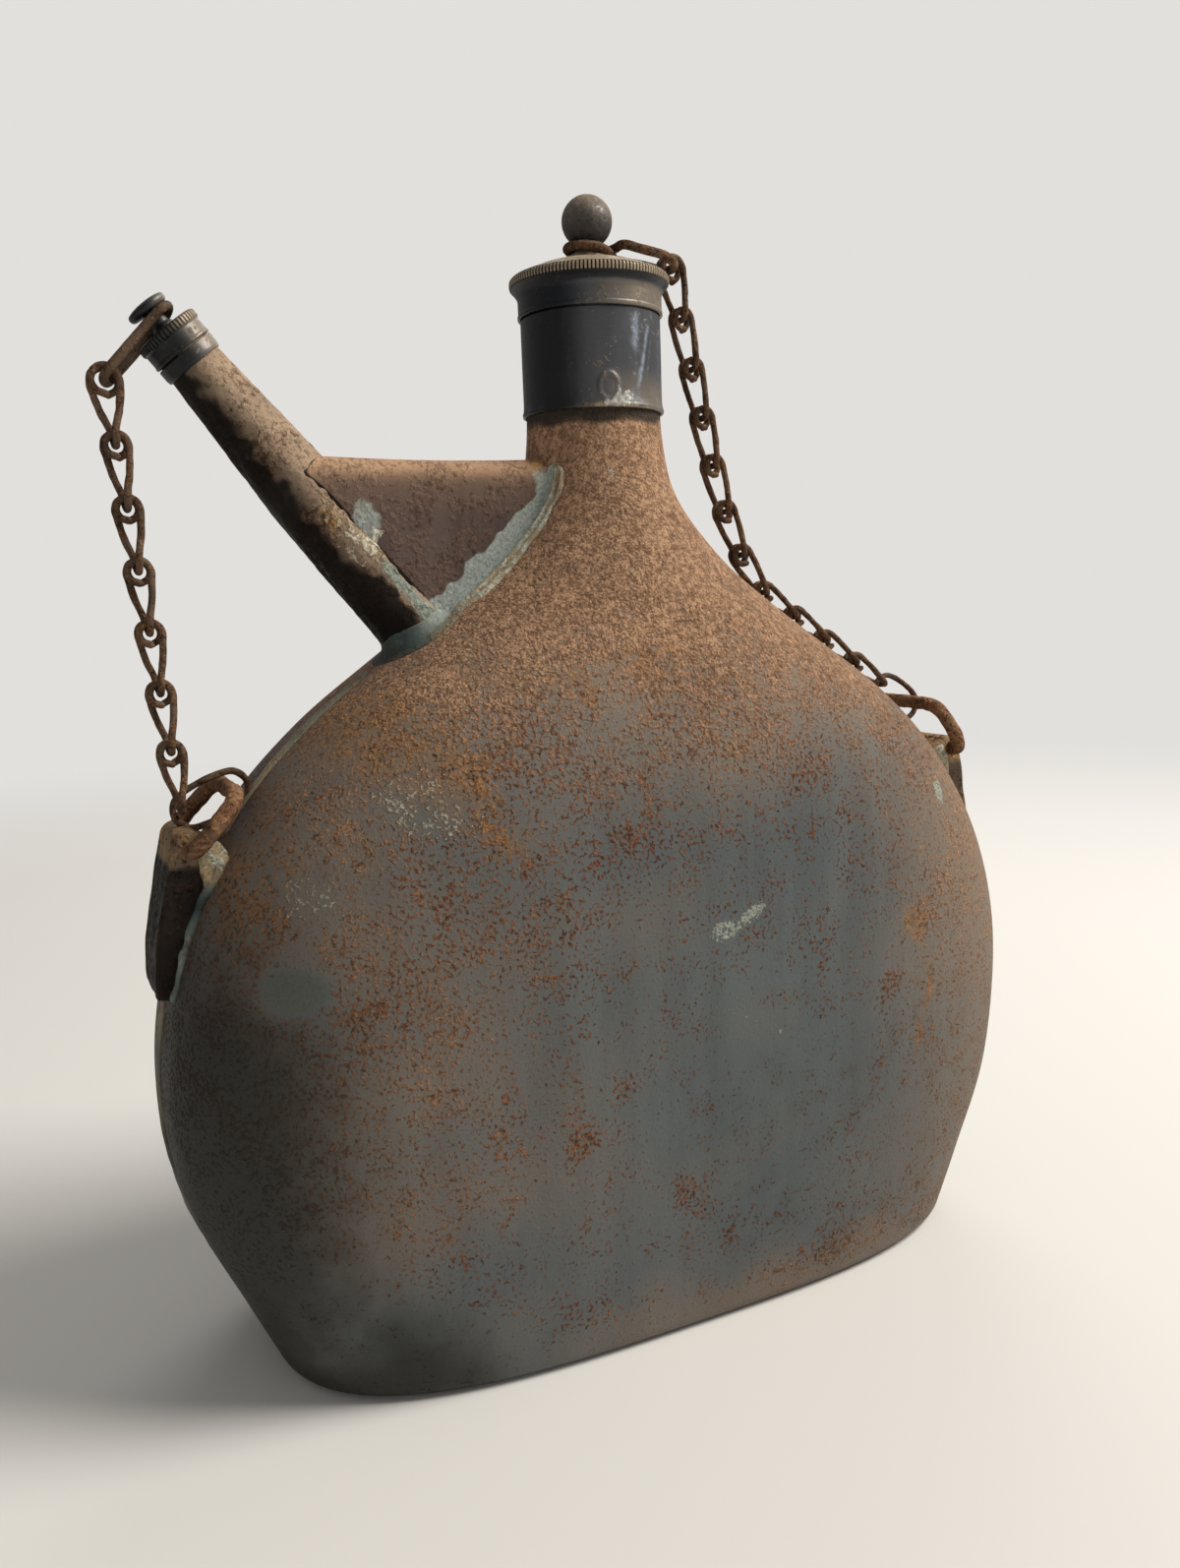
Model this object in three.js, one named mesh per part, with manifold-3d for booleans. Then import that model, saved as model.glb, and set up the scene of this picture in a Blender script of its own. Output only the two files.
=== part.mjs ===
// Two-litre field canteen: a pressed sheet body in two halves, a screw-capped neck, a raised drinking
// spout with its own screw cap, and two keeper chains that end on strap rings soldered to the sides.
// Millimetres, +Z up. The neck axis is Z, the body is widest along X and the spout leans towards -X.
import * as THREE from 'three';
import { mergeVertices } from 'three/addons/utils/BufferGeometryUtils.js';
import Module from 'manifold-3d';

const wasm = await Module();
wasm.setup();

// Driving sizes
const clearance = 0.3;
const wall = 0.8;
const bodyTop = 203.6;
const bodyStations = [
  // share of the body's height, half width, half depth
  [0, 82.6, 39.2],
  [0.0786, 89.6, 40.4],
  [0.1768, 98.0, 40.9],
  [0.275, 101.4, 41.0],
  [0.3733, 99.7, 41.0],
  [0.4715, 93.4, 41.0],
  [0.5648, 81.9, 40.2],
  [0.6385, 67.8, 37.8],
  [0.6974, 52.3, 34.6],
  [0.7466, 38.8, 31.0],
  [0.7957, 26.8, 26.6],
  [0.8546, 17.0, 20.6],
  [0.9136, 15.3, 15.6],
  [1.002, 14.9, 14.9],
];
const cornerExponent = 3.1;
const squareUpTo = 0.5403 * bodyTop;
const roundFrom = 0.8104 * bodyTop;
const bottomEdgeRadius = 3;
const levelShares = [
  0.0786, 0.167, 0.2652, 0.3635, 0.4519, 0.5255, 0.5894, 0.6434,
  0.6925, 0.7367, 0.776, 0.8202, 0.8743, 0.9381, 1,
];
const halfSegments = 20;

const collar = {
  outer: 16.1,
  bore: 13.2,
  lap: 10.3,
  sleeve: 20.1,
  bead: 0.4,
  spigotStep: 1.2,
  spigotRise: 5.6,
};
const seal = { rimGap: 0.2, thickness: 2 };
const cap = { lip: 0.5, flange: 1.7, skirt: 4.6, flare: 3, rim: 2, dome: 2.9, headroom: 0.4, teeth: 60 };
const knob = { ball: 5.4, rise: 8.1, stem: 2.9, foot: 1.4, pin: 1.5 };
const hook = { wire: 1, play: 0.5, air: 1.4, droop: 1.7, reach: 21.3, width: 4.2, squareness: 3.2 };

const spout = {
  x: -84.4,
  drop: 2.2,
  lean: 38.8,
  topRadius: 5.3,
  midRadius: 7.5,
  footRadius: 8,
  mid: 30,
  footRise: 4.8,
  over: 12,
  hole: 44,
  wall: 1,
};
const spoutCollar = { wall: 0.35, height: 2.6, lap: 1.7, spigotStep: 1.45, spigotHeight: 1.5, bite: 1.1 };
const spoutCap = { lip: 0.1, rim: 0.25, headroom: 1.1, roof: 0.8, teeth: 24 };
const button = { stem: 1.7, rise: 3.7, radius: 3.9, thickness: 1.2 };
const gusset = { lap: 0.2, drop: 9.9, sheet: 1, fold: 4.2, neckBite: 2.4, low: 25 };
const bead = { radius: 0.85, footGap: 0.5, start: 6 };

const ring = { wire: 1.65, stand: 7.8, share: 0.5403, height: 17.4, half: 14.2, lean: 31 };
const chape = { sheet: 1.15, half: 10.4, stand: 4.46, drop: 29, bite: 9 };
const chain = { wire: 0.85, eyePlay: 0.5, eyeGap: 0.2, bowPlay: 0.35 };
const leftChain = { links: 7, hang: [-10.1, -11.1], ringEnd: [-8.9, -3.7] };
const rightChain = {
  links: 11,
  drape: [[27.5, 0.9528], [33, 0.8517], [40.6, 0.7721], [49.2, 0.7367]],
  ringEnd: [-7.1, 4.7],
};
const endLink = { half: 3.9, slack: 2, drop: 0.5 };
const pear = { wire: 0.9, play: 0.7, small: 1.6, flat: 1.2, rise: 2 };
const seam = { half: 2.1, thickness: 0.5, low: 6, leftTop: 0.6925, rightTop: 0.9234 };

// Heights and radii that follow from them
const bodyRows = bodyStations.map(([share, width, depth]) => [share * bodyTop, width, depth]);
const bodyLevels = [
  0,
  0.3 * bottomEdgeRadius,
  bottomEdgeRadius,
  ...levelShares.map((share) => share * bodyTop),
];
const spoutZ = bodyTop - spout.drop;
const ringZ = ring.share * bodyTop;
const collarBottom = bodyTop - collar.lap;
const collarShoulder = collarBottom + collar.sleeve;
const collarTop = collarShoulder + collar.spigotRise;
const spigotRadius = collar.outer - collar.spigotStep;
const sealTop = collarTop + clearance + seal.thickness;
const capBottom = collarShoulder + clearance;
const capInner = spigotRadius + clearance;
const capSkirt = collar.outer + cap.lip;
const capFlange = capSkirt + cap.flange;
const flangeTop = capBottom + cap.skirt + cap.flare;
const rimTop = flangeTop + cap.rim;
const domeTop = rimTop + cap.dome;
const capCeiling = sealTop + cap.headroom;
const ballHeight = domeTop + knob.rise;
const knobFoot = knob.stem + knob.foot;
const hookLoop = knob.stem + hook.wire + hook.play;
const hookHeight = domeTop + hook.wire + hook.air;
const hookFar = hookHeight - hook.droop;
const mouthInner = spout.topRadius + clearance;
const mouthOuter = mouthInner + spoutCollar.wall;
const mouthSpigot = mouthOuter - spoutCollar.spigotStep;
const mouthBore = mouthSpigot - spoutCollar.bite;
const mouthTop = spoutCollar.height + spoutCollar.spigotHeight;
const spoutCapBottom = spoutCollar.height + clearance;
const spoutCapRadius = mouthOuter + spoutCap.lip;
const spoutCapRim = spoutCapRadius + spoutCap.rim;
const spoutCapCeiling = mouthTop + spoutCap.headroom;
const spoutCapTop = spoutCapCeiling + spoutCap.roof;
const buttonBottom = spoutCapTop + button.rise;
const pearHeight = spoutCapTop + pear.rise;
const pearBig = button.stem + pear.wire + pear.play;
const gussetTop = collarBottom - gusset.drop;
const gussetHalf = spout.midRadius - gusset.lap;
const eyeSpread = chain.wire + chain.eyeGap;
const eyeRadius = 2 * chain.wire + chain.eyePlay;
const bowHalf = eyeSpread + 2 * chain.wire + chain.bowPlay;

// Materials
const metal = (color, roughness, metalness) => {
  return new THREE.MeshStandardMaterial({ color, roughness, metalness });
};
const rustySteel = metal(0x6b6258, 0.8, 0.45);
const darkTin = metal(0x2f353a, 0.5, 0.75);
const spoutSteel = metal(0x4f4438, 0.7, 0.5);
const brownSheet = metal(0x5d4a41, 0.75, 0.45);
const greySolder = metal(0x8d968e, 0.55, 0.6);
const rustyWire = metal(0x66503f, 0.8, 0.5);
const leather = metal(0x5a3d28, 0.85, 0);

const canteen = new THREE.Group();

// One closed skin: welds vertices, drops collapsed triangles and turns the faces outwards.
function closedSkin(geometry) {
  const bare = new THREE.BufferGeometry();
  bare.setAttribute('position', geometry.getAttribute('position').clone());
  if (geometry.index) bare.setIndex(geometry.index.clone());
  const welded = mergeVertices(bare, 1e-4);
  const position = welded.getAttribute('position');
  const corners = [0, 1, 2].map(() => new THREE.Vector3());
  const kept = [];
  let volume = 0;
  for (let i = 0; i < welded.index.count; i += 3) {
    const ids = [0, 1, 2].map((k) => welded.index.getX(i + k));
    if (new Set(ids).size < 3) continue;
    ids.forEach((id, k) => corners[k].fromBufferAttribute(position, id));
    volume += corners[0].dot(corners[1].clone().cross(corners[2]));
    kept.push(ids);
  }
  if (volume < 0) kept.forEach((ids) => ids.reverse());
  welded.setIndex(kept.flat());
  return welded;
}

function toManifold(geometry) {
  const skin = closedSkin(geometry);
  const vertProperties = new Float32Array(skin.getAttribute('position').array);
  const triVerts = new Uint32Array(skin.index.array);
  return new wasm.Manifold(new wasm.Mesh({ numProp: 3, vertProperties, triVerts }));
}

function toGeometry(manifold) {
  const mesh = manifold.getMesh();
  const geometry = new THREE.BufferGeometry();
  geometry.setAttribute('position', new THREE.BufferAttribute(new Float32Array(mesh.vertProperties), 3));
  geometry.setIndex([...mesh.triVerts]);
  return geometry;
}

function addPiece(name, geometry, material) {
  const mesh = new THREE.Mesh(closedSkin(geometry), material);
  mesh.geometry.computeVertexNormals();
  mesh.name = name;
  canteen.add(mesh);
}

function indexed(points, triangles) {
  const geometry = new THREE.BufferGeometry();
  geometry.setAttribute('position', new THREE.Float32BufferAttribute(points.flat(), 3));
  geometry.setIndex(triangles.flat());
  return geometry;
}

// Revolved piece about Z from [radius, height] pairs that start and end on the axis or close on themselves.
function revolve(profile, segments) {
  const points = profile.map(([radius, height]) => new THREE.Vector2(radius, height));
  return new THREE.LatheGeometry(points, segments).rotateX(Math.PI / 2);
}

// Outline in the X-Z plane drawn out to both sides of Y = 0.
function slab(shape, half) {
  const options = { depth: 2 * half, bevelEnabled: false, curveSegments: 10 };
  const geometry = new THREE.ExtrudeGeometry(shape, options);
  return geometry.rotateX(Math.PI / 2).translate(0, half, 0);
}

// Round wire along a smooth curve through the points, closed on itself or capped at both ends.
function wire(points, radius, steps, sides, closed) {
  const path = new THREE.CatmullRomCurve3(points.map((p) => new THREE.Vector3(...p)), closed);
  path.arcLengthDivisions = 600;
  const frames = path.computeFrenetFrames(steps, closed);
  const rings = closed ? steps : steps + 1;
  const skin = [];
  const faces = [];
  for (let i = 0; i < rings; i += 1) {
    const centre = path.getPointAt(i / steps);
    for (let k = 0; k < sides; k += 1) {
      const turn = (2 * Math.PI * k) / sides;
      const spoke = frames.normals[i].clone().multiplyScalar(Math.cos(turn) * radius);
      spoke.addScaledVector(frames.binormals[i], Math.sin(turn) * radius);
      skin.push(centre.clone().add(spoke).toArray());
    }
  }
  for (let i = 0; i < steps; i += 1) {
    const next = (i + 1) % rings;
    for (let k = 0; k < sides; k += 1) {
      const l = (k + 1) % sides;
      faces.push([i * sides + k, i * sides + l, next * sides + l]);
      faces.push([i * sides + k, next * sides + l, next * sides + k]);
    }
  }
  if (!closed) {
    for (let k = 1; k < sides - 1; k += 1) {
      faces.push([0, k + 1, k]);
      faces.push([steps * sides, steps * sides + k, steps * sides + k + 1]);
    }
  }
  return indexed(skin, faces);
}

// Smooth value of a station column at a height: a cubic through the stations with averaged slopes,
// and straight above the last one.
function station(height, column) {
  const rows = bodyRows;
  const last = rows.length - 1;
  let i = 0;
  while (i < last - 1 && height > rows[i + 1][0]) i += 1;
  const slopeAt = (k) => {
    const low = rows[Math.max(k - 1, 0)];
    const high = rows[Math.min(k + 1, last)];
    return (high[column] - low[column]) / (high[0] - low[0]);
  };
  const step = rows[i + 1][0] - rows[i][0];
  const t = Math.min((height - rows[i][0]) / step, 1);
  const startPull = slopeAt(i) * step * t * (1 - t) * (1 - t);
  const endPull = slopeAt(i + 1) * step * t * t * (1 - t);
  const blend = t * t * (3 - 2 * t);
  return rows[i][column] * (1 - blend) + rows[i + 1][column] * blend + startPull - endPull;
}

// Half width, half depth and corner exponent of the body at a height, with the bottom edge rounded in.
function section(height, grow) {
  const low = Math.max(bottomEdgeRadius - height, 0);
  const tuck = bottomEdgeRadius - Math.sqrt(bottomEdgeRadius ** 2 - Math.min(low, bottomEdgeRadius) ** 2);
  const ease = THREE.MathUtils.smoothstep(height, squareUpTo, roundFrom);
  return {
    halfWidth: station(height, 1) - tuck + grow,
    halfDepth: station(height, 2) - tuck + grow,
    exponent: cornerExponent + (2 - cornerExponent) * ease,
  };
}

function outlinePoint(height, turn, grow) {
  const { halfWidth, halfDepth, exponent } = section(height, grow);
  const bend = (value) => Math.sign(value) * Math.abs(value) ** (2 / exponent);
  return [halfWidth * bend(Math.cos(turn)), halfDepth * bend(Math.sin(turn))];
}

// Where the body's skin lies along X, at a height and a depth, on the flats between the body's levels.
function skinX(height, depth) {
  const exact = (level) => {
    const { halfWidth, halfDepth, exponent } = section(level, 0);
    return halfWidth * (1 - (Math.abs(depth) / halfDepth) ** exponent) ** (1 / exponent);
  };
  const above = Math.max(bodyLevels.findIndex((level) => level >= height), 1);
  const [low, high] = [bodyLevels[above - 1], bodyLevels[above]];
  return THREE.MathUtils.mapLinear(height, low, high, exact(low), exact(high));
}

function skinNormal(height) {
  const slope = (skinX(height + 2, 0) - skinX(height - 2, 0)) / 4;
  return new THREE.Vector2(1, -slope).normalize();
}

// How far down the spout's axis the body's skin lies, found by halving.
function spoutReach() {
  const lean = THREE.MathUtils.degToRad(spout.lean);
  let [near, far] = [0, bodyTop / 2];
  for (let i = 0; i < 40; i += 1) {
    const down = (near + far) / 2;
    const isOutside = spout.x + down * Math.sin(lean) < -skinX(spoutZ - down * Math.cos(lean), 0);
    if (isOutside) near = down;
    else far = down;
  }
  return near;
}

// The solid body grown by a gap, used to cut what is soldered to it.
function grownBody(gap) {
  const around = 2 * halfSegments;
  const points = [];
  const faces = [];
  bodyLevels.forEach((height, row) => {
    for (let k = 0; k < around; k += 1) {
      const [x, y] = outlinePoint(height, (2 * Math.PI * k) / around, gap);
      points.push([x, y, row === 0 ? -gap : height]);
    }
  });
  const count = bodyLevels.length;
  for (let row = 0; row + 1 < count; row += 1) {
    for (let k = 0; k < around; k += 1) {
      const l = (k + 1) % around;
      faces.push([row * around + k, row * around + l, (row + 1) * around + l]);
      faces.push([row * around + k, (row + 1) * around + l, (row + 1) * around + k]);
    }
  }
  const top = (count - 1) * around;
  for (let k = 1; k + 1 < around; k += 1) {
    faces.push([0, k + 1, k]);
    faces.push([top, top + k, top + k + 1]);
  }
  return toManifold(indexed(points, faces));
}

// One pressed half of the body: an outer and an inner skin joined round the seam and the mouth.
function halfShell(side) {
  const columns = halfSegments + 1;
  const edge = (side * clearance) / 2;
  const skin = (grow, floor) => {
    const rows = bodyLevels.map((height) => {
      const raised = floor + height * (1 - floor / bodyTop);
      return Array.from({ length: columns }, (_, k) => {
        const [x, y] = outlinePoint(height, Math.PI * (1 - k / halfSegments), grow);
        return [x, side * Math.abs(y) + edge, raised];
      });
    });
    return [rows[0].map(([x]) => [x, edge, floor]), ...rows];
  };
  const points = [...skin(0, 0).flat(), ...skin(-wall, wall).flat()];
  const rowCount = bodyLevels.length + 1;
  const inner = rowCount * columns;
  const at = (row, column) => row * columns + column;
  const faces = [];
  for (let row = 0; row + 1 < rowCount; row += 1) {
    for (let k = 0; k < halfSegments; k += 1) {
      const [a, b, c, d] = [at(row, k), at(row, k + 1), at(row + 1, k + 1), at(row + 1, k)];
      faces.push([a, b, c], [a, c, d], [inner + a, inner + c, inner + b], [inner + a, inner + d, inner + c]);
    }
  }
  const loop = [];
  for (let k = 0; k < halfSegments; k += 1) loop.push(at(0, k));
  for (let row = 0; row + 1 < rowCount; row += 1) loop.push(at(row, halfSegments));
  for (let k = halfSegments; k > 0; k -= 1) loop.push(at(rowCount - 1, k));
  for (let row = rowCount - 1; row > 0; row -= 1) loop.push(at(row, 0));
  loop.forEach((p, i) => {
    const q = loop[(i + 1) % loop.length];
    faces.push([q, p, inner + p], [q, inner + p, inner + q]);
  });
  return toManifold(indexed(points, faces));
}

// Star-shaped prism ring for a straight knurl.
function knurl(radius, depth, teeth, bottom, height, hole) {
  const shape = new THREE.Shape();
  for (let i = 0; i < 2 * teeth; i += 1) {
    const turn = (Math.PI * i) / teeth;
    const r = i % 2 ? radius - depth : radius;
    const move = i ? 'lineTo' : 'moveTo';
    shape[move](r * Math.cos(turn), r * Math.sin(turn));
  }
  const bore = new THREE.Path();
  bore.absarc(0, 0, hole, 0, 2 * Math.PI, true);
  shape.holes.push(bore);
  const options = { depth: height, bevelEnabled: false, curveSegments: 15 };
  return new THREE.ExtrudeGeometry(shape, options).translate(0, 0, bottom);
}

// Body halves, with the spout's way in cut through both
const spoutPlace = new THREE.Matrix4().makeRotationY(-THREE.MathUtils.degToRad(spout.lean));
spoutPlace.setPosition(spout.x, 0, spoutZ);
const footBore = spout.footRadius - spout.wall - 0.4;
const footDown = spoutReach() - spout.footRise;
const spoutHole = new THREE.CylinderGeometry(footBore, footBore, spout.hole, 20).rotateX(Math.PI / 2);
spoutHole.translate(0, 0, -footDown).applyMatrix4(spoutPlace);
const spoutHoleSolid = toManifold(spoutHole);
const bodyCutter = grownBody(clearance);
addPiece('front_shell', toGeometry(halfShell(-1).subtract(spoutHoleSolid)), rustySteel);
addPiece('back_shell', toGeometry(halfShell(1).subtract(spoutHoleSolid)), rustySteel);

// Solder strips over the side seam, below and above each strap lug
function seamStrip(side, low, high) {
  const heights = [low, ...bodyLevels.filter((level) => level > low + 2 && level < high - 2), high];
  const steps = heights.length - 1;
  const points = [];
  const faces = [];
  heights.forEach((height) => {
    const out = skinNormal(height);
    const place = (lift, y) => {
      const x = skinX(height, 0) + out.x * lift;
      points.push([side * x, y, height + out.y * lift]);
    };
    place(clearance, -seam.half);
    place(clearance, seam.half);
    place(clearance + seam.thickness, seam.half - 0.5);
    place(clearance + seam.thickness, 0.5 - seam.half);
  });
  for (let i = 0; i < steps; i += 1) {
    for (let k = 0; k < 4; k += 1) {
      const l = (k + 1) % 4;
      faces.push([4 * i + k, 4 * i + l, 4 * i + 4 + l], [4 * i + k, 4 * i + 4 + l, 4 * i + 4 + k]);
    }
  }
  const end = 4 * steps;
  faces.push([0, 2, 1], [0, 3, 2], [end, end + 1, end + 2], [end, end + 2, end + 3]);
  return indexed(points, faces);
}
const chapeBottom = ringZ - chape.drop;
const lugLow = chapeBottom - 1.5;
const lugHigh = ringZ - 0.5;
addPiece('left_seam_strip_lower', seamStrip(-1, seam.low, lugLow), greySolder);
addPiece('right_seam_strip_lower', seamStrip(1, seam.low, lugLow), greySolder);
addPiece('left_seam_strip_upper', seamStrip(-1, lugHigh, seam.leftTop * bodyTop), greySolder);
addPiece('right_seam_strip_upper', seamStrip(1, lugHigh, seam.rightTop * bodyTop), greySolder);

// Neck collar: a sleeve over the pressed neck with a spigot that carries the cap's thread
const collarSeat = bodyTop + clearance;
const collarInner = section(collarBottom, 0).halfWidth + clearance;
const collarBead = collar.outer + collar.bead;
addPiece('neck_collar', revolve([
  [collarInner, collarBottom],
  [collarBead, collarBottom],
  [collarBead, collarBottom + 0.9],
  [collar.outer, collarBottom + 1.5],
  [collar.outer, collarShoulder],
  [spigotRadius, collarShoulder],
  [spigotRadius, collarTop],
  [collar.bore, collarTop],
  [collar.bore, collarSeat],
  [collarInner, collarSeat],
  [collarInner, collarBottom],
], 28), darkTin);

// Main cap: skirt, flared flange, knurled rim and shallow dome with a hole for the knob's pin
const capTurned = toManifold(revolve([
  [capInner, capBottom],
  [capSkirt, capBottom],
  [capSkirt, capBottom + cap.skirt],
  [capFlange - 0.5, flangeTop - 1.4],
  [capFlange, flangeTop - 0.7],
  [capFlange - 0.3, flangeTop],
  [capFlange - 1.3, flangeTop + 0.5],
  [capSkirt - 0.7, rimTop],
  [capSkirt - 5, rimTop + 1.6],
  [knobFoot + 0.6, domeTop],
  [knob.pin + clearance, domeTop],
  [knob.pin + clearance, capCeiling],
  [capInner, capCeiling],
  [capInner, capBottom],
], 30));
const capTeeth = knurl(capFlange - 0.9, 0.7, cap.teeth, flangeTop, 1.4, capSkirt - 2);
addPiece('main_cap', toGeometry(capTurned.add(toManifold(capTeeth))), darkTin);

const sealRadius = spigotRadius - seal.rimGap;
addPiece('main_cap_seal', revolve([
  [0, collarTop + clearance],
  [sealRadius, collarTop + clearance],
  [sealRadius, sealTop],
  [0, sealTop],
], 28), leather);

// Ball knob: pin through the dome, foot, stem and ball in one turned piece
const ballArc = Array.from({ length: 9 }, (_, i) => {
  const turn = -0.98 + ((Math.PI / 2 + 0.98) * i) / 8;
  return [i === 8 ? 0 : knob.ball * Math.cos(turn), ballHeight + knob.ball * Math.sin(turn)];
});
addPiece('cap_knob', revolve([
  [0, capCeiling + 0.1],
  [knob.pin, capCeiling + 0.1],
  [knob.pin, domeTop + clearance],
  [knobFoot, domeTop + clearance],
  [knob.stem, domeTop + clearance + 0.7],
  ...ballArc,
], 20), darkTin);

// Keeper hook: one wire bent into a figure of eight, round the knob's stem and out over the cap
const hookMiddle = (hook.reach + hookLoop + 1.4) / 2;
const hookHalf = hook.reach - hookMiddle;
const hookPath = [];
for (let i = 0; i < 8; i += 1) {
  const turn = THREE.MathUtils.degToRad(35 + (290 * i) / 7);
  const lift = 0.35 * (1 - (2 * i) / 7);
  hookPath.push([hookLoop * Math.cos(turn), hookLoop * Math.sin(turn), hookHeight + lift]);
}
hookPath.push([hookLoop + 1.2, 0, hookHeight - 1.05]);
for (let i = 0; i < 9; i += 1) {
  const turn = THREE.MathUtils.degToRad(138 - (276 * i) / 8);
  const out = (1 + Math.cos(turn)) / 2;
  const lift = 0.5 * (i / 4 - 1) * (1 - out);
  const height = hookHeight + (hookFar - hookHeight) * out + lift;
  const square = (value) => Math.sign(value) * Math.abs(value) ** (2 / hook.squareness);
  const along = hookMiddle + hookHalf * square(Math.cos(turn));
  hookPath.push([along, hook.width * square(Math.sin(turn)), height]);
}
hookPath.push([hookLoop + 1.2, 0, hookHeight + 1.3]);
addPiece('cap_hook', wire(hookPath, hook.wire, 36, 6, true), rustyWire);

// Spout: a drawn tapering tube cut to the shoulder, its foot, collar, cap, seal and button
const tubeEnd = -footDown - spout.over;
const slope = (spout.footRadius - spout.midRadius) / (footDown - spout.mid);
const endRadius = spout.footRadius + slope * spout.over;
const taper = (grow) => [
  [endRadius + grow, tubeEnd],
  [spout.midRadius + grow, -spout.mid],
  [spout.topRadius + grow, 0],
];
const tubeTop = spoutCollar.lap;
const inSpout = (geometry) => geometry.applyMatrix4(spoutPlace);
const tubeSolid = toManifold(inSpout(revolve([
  ...taper(0),
  [spout.topRadius, tubeTop],
  [spout.topRadius - spout.wall, tubeTop],
  ...taper(-spout.wall).reverse(),
  [endRadius, tubeEnd],
], 20)));
addPiece('spout_tube', toGeometry(tubeSolid.subtract(bodyCutter)), spoutSteel);

const spoutCutter = toManifold(inSpout(revolve([
  [0, tubeEnd],
  ...taper(clearance),
  [spout.topRadius + clearance, 4],
  [0, 4],
], 20)));
const footTop = footDown - 2.5;
const footFlare = toManifold(inSpout(revolve([
  [0, -footDown - 10],
  [spout.footRadius + 4.6, -footDown - 10],
  [spout.footRadius + 2.2, -footDown - 2],
  [spout.footRadius + 0.8, -footTop],
  [0, -footTop],
], 20)));
const gussetSide = new THREE.Shape();
const gussetNeck = gusset.neckBite - spigotRadius;
const gussetLow = roundFrom - gusset.low;
const axisX = (height) => spout.x + (spoutZ - height) * Math.tan(THREE.MathUtils.degToRad(spout.lean));
gussetSide.moveTo(axisX(gussetTop + 8), gussetTop + 8);
gussetSide.lineTo(gussetNeck - 5, gussetTop + 8);
gussetSide.lineTo(gussetNeck - 3, gussetTop - 1.4);
gussetSide.quadraticCurveTo(gussetNeck, gussetTop - 3, gussetNeck, gussetTop - 7);
gussetSide.lineTo(gussetNeck, gussetLow);
gussetSide.lineTo(axisX(gussetLow), gussetLow);
gussetSide.closePath();
const gussetKeep = toManifold(slab(gussetSide, gussetHalf + 1));
const footSolid = footFlare.subtract(spoutCutter).subtract(bodyCutter);
const footKept = footSolid.subtract(toManifold(slab(gussetSide, gussetHalf + clearance)));
addPiece('spout_foot', toGeometry(footKept), greySolder);

// Gusset: one sheet folded over into two leaves, open towards the spout, the neck and the shoulder
function foldedSheet(grow) {
  const half = gussetHalf - grow;
  const top = gussetTop - grow;
  const fold = gusset.fold - grow;
  const shape = new THREE.Shape();
  shape.moveTo(-half, gussetLow - 2 * grow);
  shape.lineTo(half, gussetLow - 2 * grow);
  shape.lineTo(half, top - fold);
  shape.absarc(half - fold, top - fold, fold, 0, Math.PI / 2, false);
  shape.absarc(fold - half, top - fold, fold, Math.PI / 2, Math.PI, false);
  shape.closePath();
  const length = -spout.x + 4 * grow;
  const options = { depth: length, bevelEnabled: false, curveSegments: 5 };
  const geometry = new THREE.ExtrudeGeometry(shape, options);
  geometry.rotateX(Math.PI / 2).rotateZ(Math.PI / 2).translate(spout.x - 2 * grow, 0, 0);
  return toManifold(geometry);
}
const folded = foldedSheet(0).subtract(foldedSheet(gusset.sheet));
const gussetSolid = folded.intersect(gussetKeep).subtract(spoutCutter).subtract(bodyCutter);
addPiece('spout_gusset', toGeometry(gussetSolid), brownSheet);

// Solder beads where the gusset's two leaves meet the shoulder
function leafBead(side) {
  const depth = gussetHalf + clearance + bead.radius;
  const high = gussetTop - bead.start;
  const low = spoutZ - footTop * Math.cos(THREE.MathUtils.degToRad(spout.lean)) + bead.footGap;
  const points = [];
  for (let i = 0; i <= 7; i += 1) {
    const height = THREE.MathUtils.lerp(low, high, i / 7);
    const out = skinNormal(height);
    const lift = clearance + bead.radius + 0.15;
    points.push([-skinX(height, depth) - out.x * lift, side * depth, height + out.y * lift]);
  }
  return wire(points, bead.radius, 12, 6, false);
}
addPiece('gusset_bead_front', leafBead(-1), greySolder);
addPiece('gusset_bead_back', leafBead(1), greySolder);

addPiece('spout_collar', inSpout(revolve([
  [mouthInner, 0],
  [mouthOuter, 0],
  [mouthOuter, spoutCollar.height],
  [mouthSpigot, spoutCollar.height],
  [mouthSpigot, mouthTop],
  [mouthBore, mouthTop],
  [mouthBore, tubeTop + clearance],
  [mouthInner, tubeTop + clearance],
  [mouthInner, 0],
], 20)), darkTin);

const spoutCapInner = mouthSpigot + clearance;
const spoutCapTurned = toManifold(revolve([
  [spoutCapInner, spoutCapBottom],
  [spoutCapRadius, spoutCapBottom],
  [spoutCapRadius, spoutCapTop - 1.4],
  [spoutCapRim - 0.2, spoutCapTop - 0.9],
  [spoutCapRim - 0.5, spoutCapTop - 0.2],
  [spoutCapRim - 1.2, spoutCapTop],
  [0, spoutCapTop],
  [0, spoutCapCeiling],
  [spoutCapInner, spoutCapCeiling],
  [spoutCapInner, spoutCapBottom],
], 20));
const spoutTeeth = knurl(spoutCapRim, 0.45, spoutCap.teeth, spoutCapTop - 1.5, 1.2, spoutCapRadius - 0.7);
addPiece('spout_cap', inSpout(toGeometry(spoutCapTurned.add(toManifold(spoutTeeth)))), darkTin);

addPiece('spout_cap_seal', inSpout(revolve([
  [0, mouthTop + 0.2],
  [mouthSpigot - 0.1, mouthTop + 0.2],
  [mouthSpigot - 0.1, spoutCapCeiling - 0.2],
  [0, spoutCapCeiling - 0.2],
], 20)), leather);

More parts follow.
